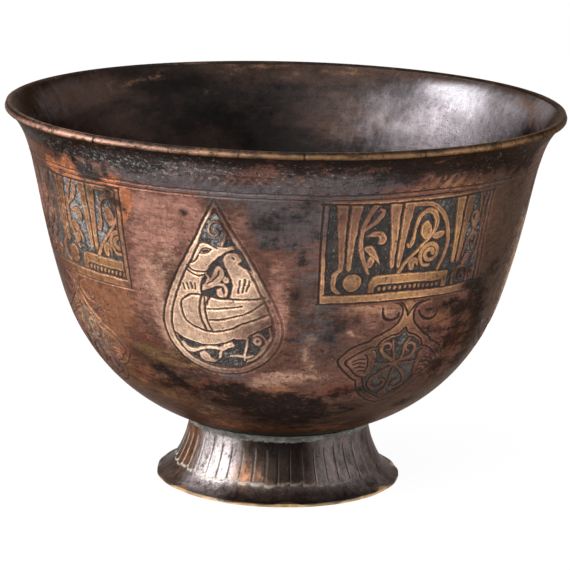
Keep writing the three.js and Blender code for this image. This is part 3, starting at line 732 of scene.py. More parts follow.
bronzeTones = dict(
    # the metal and the tarnish outside; the dark one is also painted shade
    copper=(0.172, 0.080, 0.060), brown=(0.080, 0.044, 0.032), umber=(0.080, 0.053, 0.042),
    rosy=(0.370, 0.183, 0.138), orange=(0.400, 0.148, 0.070), warm=(0.310, 0.138, 0.075),
    crimson=(0.150, 0.050, 0.035), olive=(0.190, 0.118, 0.052), tan=(0.450, 0.270, 0.188),
    dark=(0.0150, 0.0125, 0.0118), blue=(0.080, 0.068, 0.071), grime=(0.030, 0.019, 0.015),
    fleckAndGlint=(0.27, 0.26, 0.25), smear=(0.105, 0.098, 0.082),
    # the ornament's metal
    brass=(0.440, 0.235, 0.120), gilt=(0.570, 0.310, 0.115), pale=(0.900, 0.615, 0.430),
    # the lip
    lipRose=(0.45, 0.25, 0.19), lipGold=(0.36, 0.19, 0.09), lipScar=(0.11, 0.06, 0.03),
    # the inside, with a painted sheen and a painted highlight on the back right wall
    wellBlack=(0.0095, 0.0080, 0.0078), wellBase=(0.034, 0.021, 0.017), wellAndSheen=(0.25, 0.222, 0.240),
    wellPaintedHighlight=(0.45, 0.43, 0.46), wellBrown=(0.060, 0.037, 0.030), wellRust=(0.17, 0.090, 0.052),
    tint=(0.52, 0.46, 0.43), bump=0.00016,
)
# the order in which the tarnish outside, with the shade painted in it, is laid on: name, how far the streaked, the
# ragged and the speckled strays move its edges, where it starts and where it is full, and its greatest share
tarnishAndShade = [
    ("umber", 0.9, 0, 0.2, 0.1, 0.9, 1),
    ("rosy", 0.8, 0.45, 0.1, 0.2, 1, 1),
    ("warm", 1.2, 0.4, 0.2, 0.25, 0.9, 0.85),
    ("olive", 1.2, 0.5, 0.2, 0.3, 1, 0.75),
    ("orange", 0.4, 1.25, 0, 0.38, 0.6, 0.85),
    ("crimson", 1.2, 0.5, 0.2, 0.3, 0.85, 0.8),
    ("tan", 0.8, 0.5, 0.5, 0.2, 1.15, 0.9),
    ("blue", 1.2, 0.5, 0.25, 0.25, 0.85, 0.9),
    ("dark", 1.2, 0.9, 0.2, 0.32, 0.88, 0.92),
]

# patches of each tarnish outside, the dark and umber ones partly painted shade: azimuth, down, half width in degrees,
# half height in millimetres, percent
patches = dict(
    # dark patina, with painted shade in the ring just under the lip and towards the bottom
    dark=[
        (-96, 40, 8, 12, 50), (-84, 72, 10, 8, 50), (-68, 5, 8, 3.2, 80), (-58, 57, 5, 6, 35), (-57, 9, 1.4, 1.6, 90),
        (-54, 5.2, 8, 3.2, 100), (-52, 77, 10, 6, 35), (-50, 8.6, 1.2, 2.4, 90), (-50, 65, 5, 4, 40),
        (-46.5, 12, 3, 2.2, 110), (-46, 18, 4, 2, 50), (-45, 9.6, 1, 1.6, 80), (-45, 58, 8, 5, 25),
        (-43.5, 13.2, 2, 1.6, 90), (-42, 5, 7, 3.4, 105), (-41, 17, 1.6, 2.2, 90), (-40.7, 11, 0.8, 1.6, 80),
        (-40, 68, 3, 2, 50), (-39.2, 19.6, 2.4, 1.4, 110), (-38, 82, 20, 7, 25), (-37, 21.4, 1.2, 1, 80),
        (-36, 80, 4, 2, 50), (-34, 72, 4, 3, 95), (-34, 78, 5, 3, 50), (-33, 5.8, 7, 3.6, 85),
        (-30, 75.6, 3, 2.6, 90), (-30, 92, 8, 3, 30), (-29.6, 35.6, 2, 1.6, 70), (-27, 27, 2.6, 1, 40),
        (-26, 80, 4, 2.4, 65), (-25.6, 33, 2, 2, 20), (-25, 10, 6, 2, 20), (-24, 6.2, 7, 3.6, 50),
        (-24, 72, 4, 2, 75), (-22.6, 29, 1.3, 3, 50), (-22, 19.6, 1.7, 1.7, 75), (-22, 84, 7, 3, 45),
        (-19, 78, 5, 3, 85), (-15, 3.6, 6, 2, 30), (-13, 17, 2.4, 3, 50), (-12, 77, 5, 3.4, 100), (-9, 84, 7, 4, 90),
        (-6, 3.8, 6, 2.2, 35), (-5, 80, 6, 3.4, 100), (-4, 21, 6, 5, 55), (-3, 28.4, 3, 3, 45), (-3, 94, 11, 5, 45),
        (-2, 87, 16, 9, 40), (0, 1.3, 400, 1.8, 115), (0, 4, 400, 3, 30), (0, 88, 9, 5, 95), (0, 109, 400, 6, 55),
        (1, 26, 4, 4, 30), (2, 18, 5, 4, 50), (2, 64, 2, 4, 50), (3, 5, 6, 4, 50), (3, 43, 2.6, 4, 60),
        (3, 57, 3, 6, 55), (3, 79, 5, 2.6, 80), (4, 33, 2, 3, 45), (4, 50, 2.4, 4, 45), (5, 32, 2.4, 4, 40),
        (6, 15, 4, 3, 45), (7, 25, 3, 5, 45), (10, 58, 3, 4, 40), (10, 82, 5, 2.6, 75), (10, 90, 8, 5, 80),
        (12, 3.8, 6, 2.4, 60), (12, 64, 3, 3, 40), (13, 53, 3.4, 6, 60), (17, 78, 8, 4, 55), (18, 51, 2.6, 2.6, 50),
        (19, 60, 3, 3, 40), (20, 10.6, 8, 3, 40), (20, 86, 6, 3, 60), (22, 5.6, 6, 4, 80), (23, 77, 5, 3, 50),
        (23, 84, 6, 4, 40), (30, 92, 10, 5, 40), (31, 10, 5, 3, 35), (32, 4.2, 8, 2.8, 110), (36, 72, 12, 8, 25),
        (38, 38, 4, 4, 45), (38, 50, 3, 1.6, 60), (40, 56, 5, 4, 60), (42, 4.6, 8, 3, 110), (42, 11, 8, 4, 30),
        (44, 4, 18, 5, 40), (44, 49, 3, 1.6, 70), (45, 40, 5, 2.6, 70), (46, 51, 5, 3, 50), (46, 63, 8, 12, 45),
        (46, 88, 7, 3, 65), (47, 53, 2, 1.2, 60), (49, 37, 2.6, 2.4, 60), (50, 44, 3, 2, 90), (50, 74, 8, 6, 35),
        (52, 5, 8, 4, 110), (54, 46, 3.4, 3.4, 100), (54, 78, 6, 4, 45), (55, 62, 14, 18, 45), (57, 49, 2.6, 3, 95),
        (59, 56, 3, 4, 100), (60, 40, 3, 3, 50), (60, 62, 3, 3.4, 95), (62, 8, 6, 7, 85), (62, 70, 4, 5, 60),
        (66, 30, 9, 26, 30), (90, 30, 8, 12, 60), (100, 62, 9, 10, 50),
    ],
    blue=[
        (-92, 12, 10, 4, 60), (-66, 5, 8, 2.6, 70), (-46, 11.6, 4, 3.4, 90), (-40, 5, 10, 3, 60),
        (-31, 9, 8, 3.4, 100), (-26, 7, 16, 5, 50), (-24, 9.4, 7, 3.2, 95), (-20, 5, 14, 3, 50),
        (-17, 10.6, 6, 2.4, 70), (-14.5, 14, 3, 3, 70), (-13.6, 17, 3, 3, 50), (-12, 13.5, 5, 2, 80),
        (-12, 71, 6, 2.4, 70), (-5, 12, 6, 3, 90), (-3, 17, 6, 5, 95), (-3, 26, 5, 4, 70), (2, 10, 6, 4, 80),
        (3, 22, 6, 6, 90), (4, 50, 5, 10, 35), (4, 88, 10, 8, 30), (6, 34, 5, 9, 60), (6, 57, 4, 8, 50),
        (7, 18, 4, 5, 70), (11, 50, 4, 8, 40), (12, 56, 4, 5, 45), (13, 8.5, 7, 4, 85), (17, 11, 12, 3, 50),
        (21, 9, 6, 3.4, 75), (56, 46, 4, 4, 50), (86, 10, 12, 4, 70),
    ],
    # a brown tone that also paints shade on the right side and towards the bottom
    umber=[
        (-50, 90, 20, 6, 40), (-20, 90, 10, 6, 40), (-8, 10, 8, 4, 60), (0, 100, 400, 16, 30), (9, 46, 3, 3, 50),
        (10, 56, 12, 10, 25), (12, 60, 9, 9, 40), (15, 12.4, 14, 2, 50), (20, 92, 26, 8, 60), (26, 86, 14, 6, 80),
        (52, 82, 16, 9, 90), (56, 12, 10, 6, 70), (60, 42, 8, 8, 90), (62, 26, 10, 16, 100), (68, 60, 12, 20, 100),
        (80, 30, 10, 26, 80),
    ],
    rosy=[
        (-86, 32, 8, 10, 60), (-36, 52, 4, 6, 40), (-35, 47, 3, 5, 50), (-33, 30, 4, 5, 85), (-32.6, 40, 4.4, 6, 90),
        (-31, 19, 6, 4.4, 100), (-30.4, 51, 2.4, 8, 90), (-29, 60, 2, 4, 60), (-27, 27, 7, 5, 95),
        (-22.6, 18, 4, 3, 85), (-20, 24, 2, 3, 50), (-19, 19, 3, 5, 60), (-9, 20, 3, 5, 40), (-9, 23, 3.4, 6, 30),
        (-2, 45, 4, 12, 40), (-1, 38, 2, 7, 50), (0.2, 50, 1.8, 8, 75), (1, 71, 8, 3, 70), (5, 36, 4, 6, 35),
        (6, 29, 3, 4, 40), (6, 47, 2.6, 2.6, 50), (6.4, 62, 2.6, 5, 45), (14, 74, 7, 3, 30), (16, 48, 5, 2.4, 50),
        (17, 56, 4, 4, 35), (22, 54, 5, 4, 40), (25, 49, 7, 2.6, 50), (104, 26, 10, 9, 70),
    ],
    orange=[
        (-60.4, 12.8, 3.2, 2.6, 100), (-53, 12.4, 3.6, 3.6, 100), (-52.6, 8.4, 1.2, 1, 75), (-47.4, 8, 1.8, 1.2, 90),
        (-46, 15, 8, 0.6, 90), (-46, 80, 3, 1.2, 60), (-42.8, 9.2, 1.6, 0.9, 90), (-39.4, 12.4, 3.4, 3.4, 100),
        (-38.6, 9.2, 1.5, 1.1, 85), (-36.6, 23, 1.8, 3, 60), (-36, 17.4, 2.6, 3, 90), (-34, 83, 3, 1, 55),
    ],
    warm=[
        (-100, 60, 9, 6, 60), (-60, 60, 8, 6, 40), (-58, 47, 4, 2.6, 80), (-56, 52, 7, 5, 60), (-56, 72, 5, 3, 50),
        (-54, 30, 16, 18, 60), (-50, 63, 6, 3, 35), (-50, 72, 4, 3, 50), (-50, 78, 7, 3, 60), (-49, 70, 6, 3, 60),
        (-47, 61, 6, 4, 60), (-46, 49, 9, 4, 95), (-44, 56, 7, 4, 95), (-42, 52, 4, 3, 60), (-42, 74, 5, 3, 60),
        (-40, 84, 7, 3, 50), (-36, 77, 5, 3, 70), (-33, 68, 4, 2, 70), (-30, 80, 5, 2, 60), (-24, 69, 5, 2, 60),
        (-22, 80, 5, 3, 40), (-18, 101, 18, 6, 70), (-3, 75.6, 6, 1.6, 60), (0, 76.4, 5, 2.6, 70),
        (0, 106, 400, 4, 20), (20, 102, 24, 6, 70), (22, 48, 6, 2.4, 80), (26, 12.6, 6, 1.4, 50),
        (34, 47.4, 10, 1.2, 60), (35, 10.6, 9, 2, 65), (40, 53, 5, 3, 60), (42, 13, 8, 2, 50), (43, 54, 4, 4, 70),
        (45, 55, 4, 2, 50), (94, 52, 10, 6, 60),
    ],
    crimson=[
        (-46, 69, 4, 3, 80), (-44, 76, 4, 2, 60), (-43, 73, 3, 2, 60), (-39, 57, 3, 3, 60), (-37, 61, 4, 3, 80),
        (-33, 63, 3, 2, 60), (-32, 87, 6, 2, 60), (-27, 77.5, 4, 3, 80), (-21, 75.5, 3, 2.4, 70),
        (-20, 12, 4, 1.4, 50), (-17, 82, 4, 3, 60), (-16, 7.6, 5, 2.4, 70), (-12, 88, 6, 3, 60), (-9, 27, 1.6, 4, 40),
        (-8, 8, 6, 2.6, 70), (-7, 18, 3, 2.4, 50), (3, 14, 3, 2, 40), (4, 84, 6, 2, 60), (8, 86, 4, 3, 40),
        (16, 76, 7, 3.4, 80), (42, 60, 3, 4, 30), (46, 72, 5, 4, 50), (50, 60, 6, 5, 60), (53, 67, 6, 4, 60),
        (80, 66, 8, 5, 60),
    ],
    olive=[
        (-62, 80, 9, 4, 60), (-61, 60, 6, 8, 50), (-58, 66, 5, 3, 50), (-52, 84, 6, 4, 60), (-50, 74, 5, 2.4, 70),
        (-38, 84, 8, 4, 80), (-37, 65.6, 5, 2.6, 85), (-34, 62, 3, 2, 40), (-33, 69, 4, 2, 80), (-30, 73, 5, 2, 60),
        (-29, 66, 3, 2, 80), (-26, 84, 5, 3, 40), (-25, 69, 4, 1.6, 70), (-24, 91, 8, 3, 70), (36, 88, 8, 4, 35),
    ],
    tan=[
        (-37, 58, 4, 4, 40), (-32.6, 44, 3, 4, 60), (-31, 38, 3, 4, 50), (-30, 50, 1.6, 7, 95),
        (-29.4, 58, 1.6, 4, 70), (-28, 36, 3.4, 4, 50), (-28, 92, 3, 2, 50), (-26, 33, 3, 6, 45),
        (-26, 63, 1.4, 2.4, 60), (-24, 22, 3, 5, 30), (-24, 88, 4, 2.4, 55), (-18, 18, 3, 3, 35),
        (-16, 70.6, 4, 1.2, 60), (-9, 28, 1.2, 1.2, 60), (-7, 75, 3, 1, 70), (-4, 73, 5, 2.2, 95),
        (-2, 30, 1, 0.8, 50), (1, 70, 4, 1.6, 100), (1.4, 47, 0.8, 9, 60), (5.6, 60, 1.2, 0.8, 70),
        (6, 69.6, 4, 1.6, 95), (6.4, 62.6, 1.2, 3, 85), (7.4, 57, 1.6, 1.8, 100), (8, 66, 1.6, 1.8, 70),
        (11, 71, 3, 1.6, 70), (12, 49, 2, 1, 50), (17, 55.4, 1.1, 1, 90), (21, 47.6, 5, 1.5, 60),
        (28, 49.6, 4, 2, 60),
    ],
    rough=[
        (-96, 8, 20, 5, 80), (-60, 62, 12, 13, 100), (-56, 5, 9, 4, 70), (-52, 26, 14, 16, 90), (-38, 6, 9, 4, 90),
        (-34, 8, 14, 4, 40), (-33, 73, 6, 5, 45), (-32, 42, 5, 6, 30), (-23, 6, 14, 4.6, 100), (-22, 75, 9, 4, 30),
        (-14, 69, 12, 3, 50), (0, 7, 12, 4.4, 70), (3, 60, 8, 12, 30), (14, 7, 9, 3.4, 60), (32, 66, 14, 14, 40),
        (44, 42, 7, 4, 40), (46, 5, 13, 4, 50), (56, 48, 7, 5, 30), (88, 8, 20, 5, 80),
    ],
)
# where the ornament's metal shows bare, partly from wear and partly as a painted highlight, and how golden it is, in
# the same form
metalPatches = dict(
    bareAndLit=[
        (-104, 50, 14, 26, 80), (-58, 60, 14, 12, 40), (-50, 32, 15, 20, 62), (-44, 40, 6, 4, 50),
        (-25, 48, 4, 9, 65), (-22, 61, 8, 7, 95), (-20, 38, 3.6, 6, 60), (-18.5, 23, 2.6, 8, 100),
        (-16, 31, 5, 4.4, 85), (-15, 48, 9, 8, 86), (-12, 62, 8, 5, 70), (-9, 30, 2.4, 8, 25), (-9, 40, 4, 6, 90),
        (9, 38, 1.2, 9, 70), (12, 38, 2, 5, 60), (14, 26, 4, 10, 40), (16, 39.4, 3, 3, 50), (17, 31, 4, 8, 50),
        (19, 64, 5, 5, 20), (21, 32, 4, 8, 35), (24.5, 28, 3.4, 13, 80), (25, 15, 18, 1.4, 50),
        (27, 44.4, 18, 1.6, 90), (27, 60, 4, 5, 35), (29, 50, 6, 5, 70), (30, 39, 9, 3, 72), (32, 70, 13, 10, 12),
        (33, 26, 6, 12, 85), (35, 60, 4, 5, 35), (36, 11, 6, 3, 45), (41.4, 28, 2.6, 14, 65), (47, 26, 3, 12, 35),
        (82, 44, 9, 24, 60), (100, 50, 9, 26, 80), (125, 40, 30, 30, 80), (166, 44, 14, 24, 80),
        (212, 40, 30, 30, 70),
    ],
    gilt=[
        (-58, 62, 14, 12, 85), (-52, 30, 18, 22, 65), (10, 36, 2, 9, 40), (29, 44.6, 18, 1.6, 60),
        (30, 39, 10, 3, 80), (32, 26, 6, 14, 70), (32, 52, 9, 7, 80), (32, 66, 14, 12, 50), (36, 11, 7, 4, 70),
        (40, 28, 6, 16, 90), (125, 40, 30, 30, 50),
    ],
)
# where the engraved lines have worn faint
faint = [
    (-66, 30, 8, 18, 50), (-60, 62, 16, 16, 60), (-14.6, 15, 3, 2.6, 60), (-14, 71, 12, 3, 40), (-8, 13, 12, 2, 50),
    (-8, 24, 3, 10, 40), (-1, 50, 4, 22, 55), (50, 24, 3, 12, 50), (50, 66, 5, 8, 30), (66, 13, 10, 3, 50),
    (72, 45, 9, 30, 75),
]
# where pale bloom and brown rust lie on the compound
compoundPatches = dict(
    bloom=[
        (-104, 50, 16, 26, 35), (-58, 60, 8, 8, 15), (-56, 22, 4, 10, 60), (-50, 26, 14, 16, 50), (-46, 32, 4, 5, 50),
        (-15, 22, 6, 8, 60), (-14, 63, 12, 6, 40), (31.9, 28, 26, 16, 10), (32, 59, 1.4, 5, 40), (36, 18, 5, 4, 30),
        (47, 26, 5, 12, 45), (96, 50, 9, 26, 30), (125, 40, 30, 30, 40), (166, 44, 14, 24, 30), (212, 40, 30, 30, 40),
    ],
    rust=[
        (-72, 28, 8, 18, 80), (-61, 64, 20, 18, 100), (12, 30, 3, 14, 20), (22, 62, 5, 6, 30), (32, 72, 14, 10, 50),
        (40, 64, 5, 6, 40), (51, 32, 3, 14, 50), (74, 45, 9, 30, 90),
    ],
)


def ellipses(spots, azimuth, down):
    # 1 - the product of all (1 - percent / 100 * exp(-0.9 (u^2 + v^2))), u and v being scaled by a spot's half sizes
    clear = np.ones(np.broadcast(azimuth, down).shape)
    for middle, place, wide, tall, percent in spots:
        far = (aside(azimuth, middle) / wide) ** 2 + ((down - place) / tall) ** 2
        clear = clear * (1 - np.minimum(percent / 100 * np.exp(-0.9 * far), 1))
    return 1 - clear


def toneAndLightLayers(azimuth, down):
    # the front half's tarnish, with its painted shade, is laid on the back half too
    layers = {kind: np.maximum(ellipses(spots, azimuth, down), ellipses(spots, azimuth + 180, down))
              for kind, spots in patches.items()}
    layers.update({kind: ellipses(spots, azimuth, down) for kind, spots in metalPatches.items()})
    return layers


def bronzeMaterial():
    net = Net("agedBronze")
    p = bronzeTones
    broad = net.noise(24, 4, 0.6, shift=3)
    middle = net.noise(6, 6, 0.68, shift=9)
    fine = net.noise(1.7, 5, 0.7, shift=1)
    grit = net.noise(0.55, 2, 0.6, shift=5)
    streaks = net.noise(4, 6, 0.72, (3, 3, 0.8), 14)
    dashes = net.noise(1.3, 4, 0.7, (2.4, 2.4, 0.7), 23)
    upright = net.noise(1.1, 4, 0.7, (0.8, 0.8, 4), 61)
    groove, inside, rough, pale = (net.layer(name) for name in ("groove", "inside", "rough", "pale"))
    ragged = sway((middle, 1.2), (fine, 0.9))
    streaked = sway((streaks, 1.3), (dashes, 0.9))
    speckle = sway((fine, 1.3), (grit, 1.1))

    colour = net.coat(p["copper"], p["brown"], broad + sway((fine, 0.8)), 0.38, 0.62)
    masks = {}
    for name, *shares, low, high, most in tarnishAndShade:
        stray = sum(kind * share for kind, share in zip((streaked, ragged, speckle), shares))
        masks[name] = net.fit(net.layer(name) + stray, low, high)
        colour = net.blend(masks[name] * most, colour, p[name])

    metal = net.blend(pale, p["brass"], p["pale"])
    metal = net.blend(net.layer("gilt") * net.fit(middle, 0.25, 0.6), metal, p["gilt"])
    metal = net.coat(metal, net.shade(p["rosy"], 0.6), dashes + sway((grit, 0.8)), 0.45, 0.66, 0.55)
    metal = net.coat(metal, p["brown"], upright + sway((grit, 0.4)), 0.5, 0.66, 0.75 - pale * 0.35)
    # the ornament's bare metal, lightened partly as a painted highlight
    shine = net.layer("ornament") * net.fit(net.layer("bareAndLit") + ragged * 0.5 + speckle * 0.2, 0.05, 1)
    shine = shine * (0.92 - masks["dark"] * 0.6)
    colour = net.blend(shine, colour, metal)
    colour = net.shade(colour, 1 + sway((fine, 0.9 + rough * 0.8), (dashes, 1.3), (grit, 0.6 + rough * 0.5),
                                        (upright, 0.8)))
    pits = net.fit(net.noise(1.4, 4, 0.75, shift=31) + rough * 0.05, 0.61, 0.67)
    colour = net.blend(pits * 0.7, colour, p["dark"])
    # pale specks, partly crust and partly painted glints on the pitted metal
    lying, standing = net.noise(0.9, 4, 0.75, (2.2, 2.2, 0.9), 35), net.noise(0.8, 4, 0.78, (0.8, 0.8, 2.2), 39)
    flecksAndGlints = net.fit(lying * 0.6 + standing * 0.4 + sway((grit, 0.25)) + rough * 0.13, 0.6, 0.76)
    colour = net.blend(flecksAndGlints * 0.55, colour, p["fleckAndGlint"])
    # the burr band along the metal's edges is lightened: painted highlight on the rims, with some edge wear
    colour = net.shade(colour, 1 + net.layer("burr") * (0.3 + shine * 0.7 + fine * 0.4))

    gold = net.blend(net.layer("lipGold"), p["lipRose"], p["lipGold"])
    gold = net.coat(gold, p["lipScar"], net.noise(3, 5, 0.7, (2, 2, 1), 41), 0.46, 0.64)
    # the lip is gold where rubbed and where a highlight is painted, and dark elsewhere, partly as painted shade
    lip = net.blend(net.layer("lipLight") + sway((fine, 0.6), (broad, 0.5)), p["dark"], gold)
    lip = net.coat(lip, p["dark"], net.noise(1.2, 4, 0.7, shift=47), 0.59, 0.68)
    colour = net.blend(net.layer("lip"), colour, lip)

    scratches = net.noise(2.6, 5, 0.7, (1, 1, 2), 91)
    wellAndSheen = net.coat(p["wellBlack"], p["wellBase"], net.noise(14, 5, 0.62, (2, 2, 1), 51), 0.42, 0.7)
    # painted sheen and painted highlight on the inside, then brown and rust
    for name, stray, low, high, most in (
        ("wellAndSheen", sway((scratches, 0.35), (net.noise(9, 5, 0.6, shift=95), 0.34)), 0.12, 1.05, 1),
        ("wellPaintedHighlight", sway((scratches, 0.4)), 0.1, 1, 1),
        ("wellBrown", sway((streaks, 0.9)), 0.1, 1, 1),
        ("wellRust", streaked * 0.9 + sway((middle, 1.2)) + speckle * 0.3, 0.35, 0.95, 0.6),
    ):
        wellAndSheen = net.coat(wellAndSheen, p[name], net.layer(name) + stray, low, high, most)
    colour = net.blend(inside, colour, net.shade(wellAndSheen, 1 + sway((fine, 0.8), (scratches, 0.5))))
    colour = net.blend(groove * (0.78 + fine * 0.4), colour, p["grime"])
    colour = net.coat(colour, p["smear"], net.layer("smear") + sway((streaks, 1.2)) + speckle * 0.2, 0.3, 0.8, 0.85)

    roughness = 0.36 + broad * 0.1 + sway((fine, 0.25)) + masks["dark"] * 0.08 - inside * 0.04 + groove * 0.25
    metallic = 1 - masks["blue"] * 0.35 - groove * 0.5 - flecksAndGlints * 0.6
    height = middle * 0.35 + fine * 0.5 + grit * 0.22 + dashes * 0.3 - pits * 0.4 + flecksAndGlints * 0.35
    ripple = net.noise(3.4, 3, 0.6, (5, 5, 0.55), 71)
    height = height * (1 - inside * 0.6) + ripple * inside * 0.3 + (fine + grit) * rough * 0.5
    return net.finish(colour, roughness + rough * 0.08, metallic, height, p["bump"], 0.3, p["tint"])


filler = dict(black=(0.011, 0.009, 0.009), brown=(0.034, 0.026, 0.022), rust=(0.085, 0.047, 0.030),
              bloom=(0.20, 0.20, 0.20), glint=(0.26, 0.20, 0.165), bump=0.00022)


def compoundMaterial():
    net = Net("blackCompound")
    p = filler
    coarse = net.noise(3, 5, 0.65, shift=2)
    fine = net.noise(0.8, 4, 0.7, shift=8)
    bloom = net.layer("bloom")
    colour = net.coat(p["black"], p["brown"], coarse, 0.4, 0.65)
    colour = net.coat(colour, p["rust"], net.layer("rust") + sway((coarse, 1.2), (fine, 1)), 0.2, 1)
    colour = net.coat(colour, p["bloom"], bloom + sway((coarse, 1.4), (fine, 2.4)), 0.36, 0.9)
    glints = net.fit(net.noise(0.6, 3, 0.7, (1, 1, 1.6), 25) + bloom * 0.04, 0.56, 0.68)
    colour = net.blend(glints * 0.55, colour, p["glint"])
    height = fine * 0.8 + coarse * 0.3 + glints * 0.3
    return net.finish(colour, 0.5 + fine * 0.3, glints * 0.5, height, p["bump"], 0.3)


# the foot's colours, among them painted sheen in the grey tone, pale painted highlights, and a near-black painted shade
footTones = dict(
    black=(0.017, 0.012, 0.010), brown=(0.045, 0.027, 0.020), slate=(0.078, 0.064, 0.062), tawny=(0.21, 0.100, 0.052),
    paintedHighlight=(0.36, 0.315, 0.315), rust=(0.15, 0.066, 0.036), paintedShade=(0.0070, 0.0060, 0.0058), paintedRidgeHighlight=(0.26, 0.20, 0.16),
    cleft=(0.009, 0.008, 0.008), cleftChalk=(0.16, 0.14, 0.12), crust=(0.15, 0.14, 0.12),
    crustChalk=(0.46, 0.43, 0.37), smearDark=(0.085, 0.078, 0.070), smear=(0.185, 0.176, 0.158),
    rubbed=(0.62, 0.40, 0.20), rubbedDark=(0.34, 0.20, 0.09), tint=(0.6, 0.54, 0.52), bump=0.00016,
)


def footMaterial():
    net = Net("footBronze")
    p = footTones
    broad = net.noise(9, 4, 0.6, (1, 1, 1.8), 4)
    middle = net.noise(2.6, 5, 0.7, (0.8, 0.8, 3), 6)
    fine = net.noise(0.8, 4, 0.65, shift=11)
    groove, chalk, edge = (net.layer(name) for name in ("groove", "chalk", "edge"))
    colour = net.coat(p["black"], p["brown"], broad, 0.38, 0.64)
    # over the base: a grey tone that is partly painted sheen, a tawny tone, and a pale painted highlight at the front
    # left
    for name, value, low, high in (("slate", broad + middle, 0.5, 1.2), ("tawny", middle, 0.3, 0.6),
                                   ("paintedHighlight", middle + fine * 0.5, 0.4, 0.85)):
        colour = net.coat(colour, p[name], value, low, high, net.layer(name))
    colour = net.coat(colour, p["rust"], middle, 0.58, 0.68, 0.5)
    # near-black painted shade over the front middle of the foot
    colour = net.coat(colour, p["paintedShade"], broad + sway((middle, 0.9)), 0.2, 0.5, net.layer("paintedShade") * 0.85)
    colour = net.shade(colour, 1 + sway((broad, 1.4), (middle, 1.4), (fine, 1.2)))
    # a painted highlight along one side of each tongue line
    colour = net.blend(net.layer("paintedRidgeHighlight") * 0.22, colour, p["paintedRidgeHighlight"])
    colour = net.blend(groove * (0.9 - chalk * 0.3), colour, net.blend(chalk, p["cleft"], p["cleftChalk"]))
    crust = net.layer("deposit") * net.fit(fine + middle * 0.6, 0.6, 0.86)
    colour = net.blend(crust * 0.9, colour, net.blend(chalk, p["crust"], p["crustChalk"]))
    smear = net.fit(net.layer("smear") + sway((broad, 1), (fine, 0.8)), 0.3, 0.75)
    colour = net.blend(smear * 0.9, colour, net.coat(p["smearDark"], p["smear"], fine, 0.4, 0.65))
    rubbed = net.coat(p["rubbed"], p["rubbedDark"], broad, 0.4, 0.6)
    colour = net.coat(colour, rubbed, middle * 0.5 + edge, 0.5, 0.8, edge)
    roughness = 0.31 + fine * 0.18 + crust * 0.35 + groove * 0.2 + smear * 0.25
    metallic = 1 - crust * 0.8 - groove * 0.5 - smear * 0.4
    return net.finish(colour, roughness, metallic, middle * 0.5 + fine * 0.5, p["bump"], 0.3, p["tint"])


solderTones = dict(dark=(0.088, 0.081, 0.071), grey=(0.195, 0.188, 0.168), pale=(0.27, 0.27, 0.24),
                   stain=(0.05, 0.032, 0.024), bump=0.00025)


def solderMaterial():
    net = Net("greySolder")
    p = solderTones
    coarse = net.noise(2.4, 4, 0.6, shift=4)
    fine = net.noise(0.7, 4, 0.65, shift=7)
    colour = net.coat(p["dark"], p["grey"], coarse, 0.36, 0.62)
    colour = net.coat(colour, p["pale"], fine, 0.58, 0.68, 0.6)
    colour = net.coat(colour, p["stain"], net.noise(5, 3, 0.6, shift=15), 0.55, 0.65, 0.6)
    return net.finish(colour, 0.5 + fine * 0.25, 0.5, coarse * 0.6 + fine * 0.5, p["bump"])


bronze = bronzeMaterial()
compound = compoundMaterial()
footBronze = footMaterial()
solder = solderMaterial()
print("stage: materials")

tile = dict(step=0.21, depth=0.9, pocket=1.05, coarse=12, sharp=60, fade=0.4, lap=0.012)
quarters = [31.9, 121.9, 211.9, -61.5]
copies = dict(panel=quarters, pendant=quarters, drop=[-14.6, 75.4, 165.4, 255.4], frieze=[45, 135, 225, 315])
fields = dict(panel=panel, pendant=pendant, drop=drop, frieze=frieze)
sketches = dict(panel=drawPanel, pendant=drawPendant, drop=drawDrop, frieze=drawFrieze)
paleness = dict(panel=0.05, pendant=0.05, drop=1.0, frieze=0.0)


def tileLines(field, azimuth):
    width = math.radians(2 * field["halfAngle"]) * field["radius"]
    rows = (int((field["bottom"] - field["top"]) / tile["step"]) // tile["coarse"] + 1) * tile["coarse"] + 1
    angles = azimuth + np.linspace(-field["halfAngle"], field["halfAngle"], int(width / tile["step"]) + 1)
    return angles, np.linspace(field["top"], field["bottom"], rows)


def fieldTile(kind, count, azimuth):
    # a slab of the wall whose face is sunk by the field's drawing, level with the wall at its four borders
    field = fields[kind]
    angles, down = tileLines(field, azimuth)
    x = np.radians(angles - azimuth) * field["radius"]
    height, groove, burr, worked = sketches[kind](Sketch(x, field["foot"] - down, kind, count))
    border = np.minimum(down - down[0], down[-1] - down)[:, None]
    if kind != "frieze":  # the frieze goes on in its neighbours
        border = np.minimum(border, np.minimum(x - x[0], x[-1] - x))
    fade = smooth(0, tile["fade"], border)
    places, faces = closedTile(angles, down, -height * fade, tile["depth"], tile["coarse"])
    angles, down = angles[None, :], down[:, None]
    layers = toneAndLightLayers(angles, down)
    layers.update(groove=groove * fade * (1 - ellipses(faint, angles, down)), burr=burr * fade, ornament=worked,
                  pale=np.full(height.shape, paleness[kind]))
    spare = np.zeros(len(places) - height.size)
    layers = {key: np.concatenate([values.ravel(), spare]) for key, values in layers.items()}
    piece = makeObject(f"{kind}Relief_{count + 1}", places, faces, bronze, layers, tile["sharp"])
    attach(piece, "root")


for kind, azimuths in copies.items():
    for count, azimuth in enumerate(azimuths):
        fieldTile(kind, count, azimuth)
print("stage: engraved fields")


def pocketSpans():
    spans = [(0, 360, frieze["top"], frieze["bottom"])]
    for kind in ("panel", "pendant", "drop"):
        field = fields[kind]
        for azimuth in copies[kind]:
            spans.append((azimuth - field["halfAngle"], azimuth + field["halfAngle"], field["top"], field["bottom"]))
    return spans


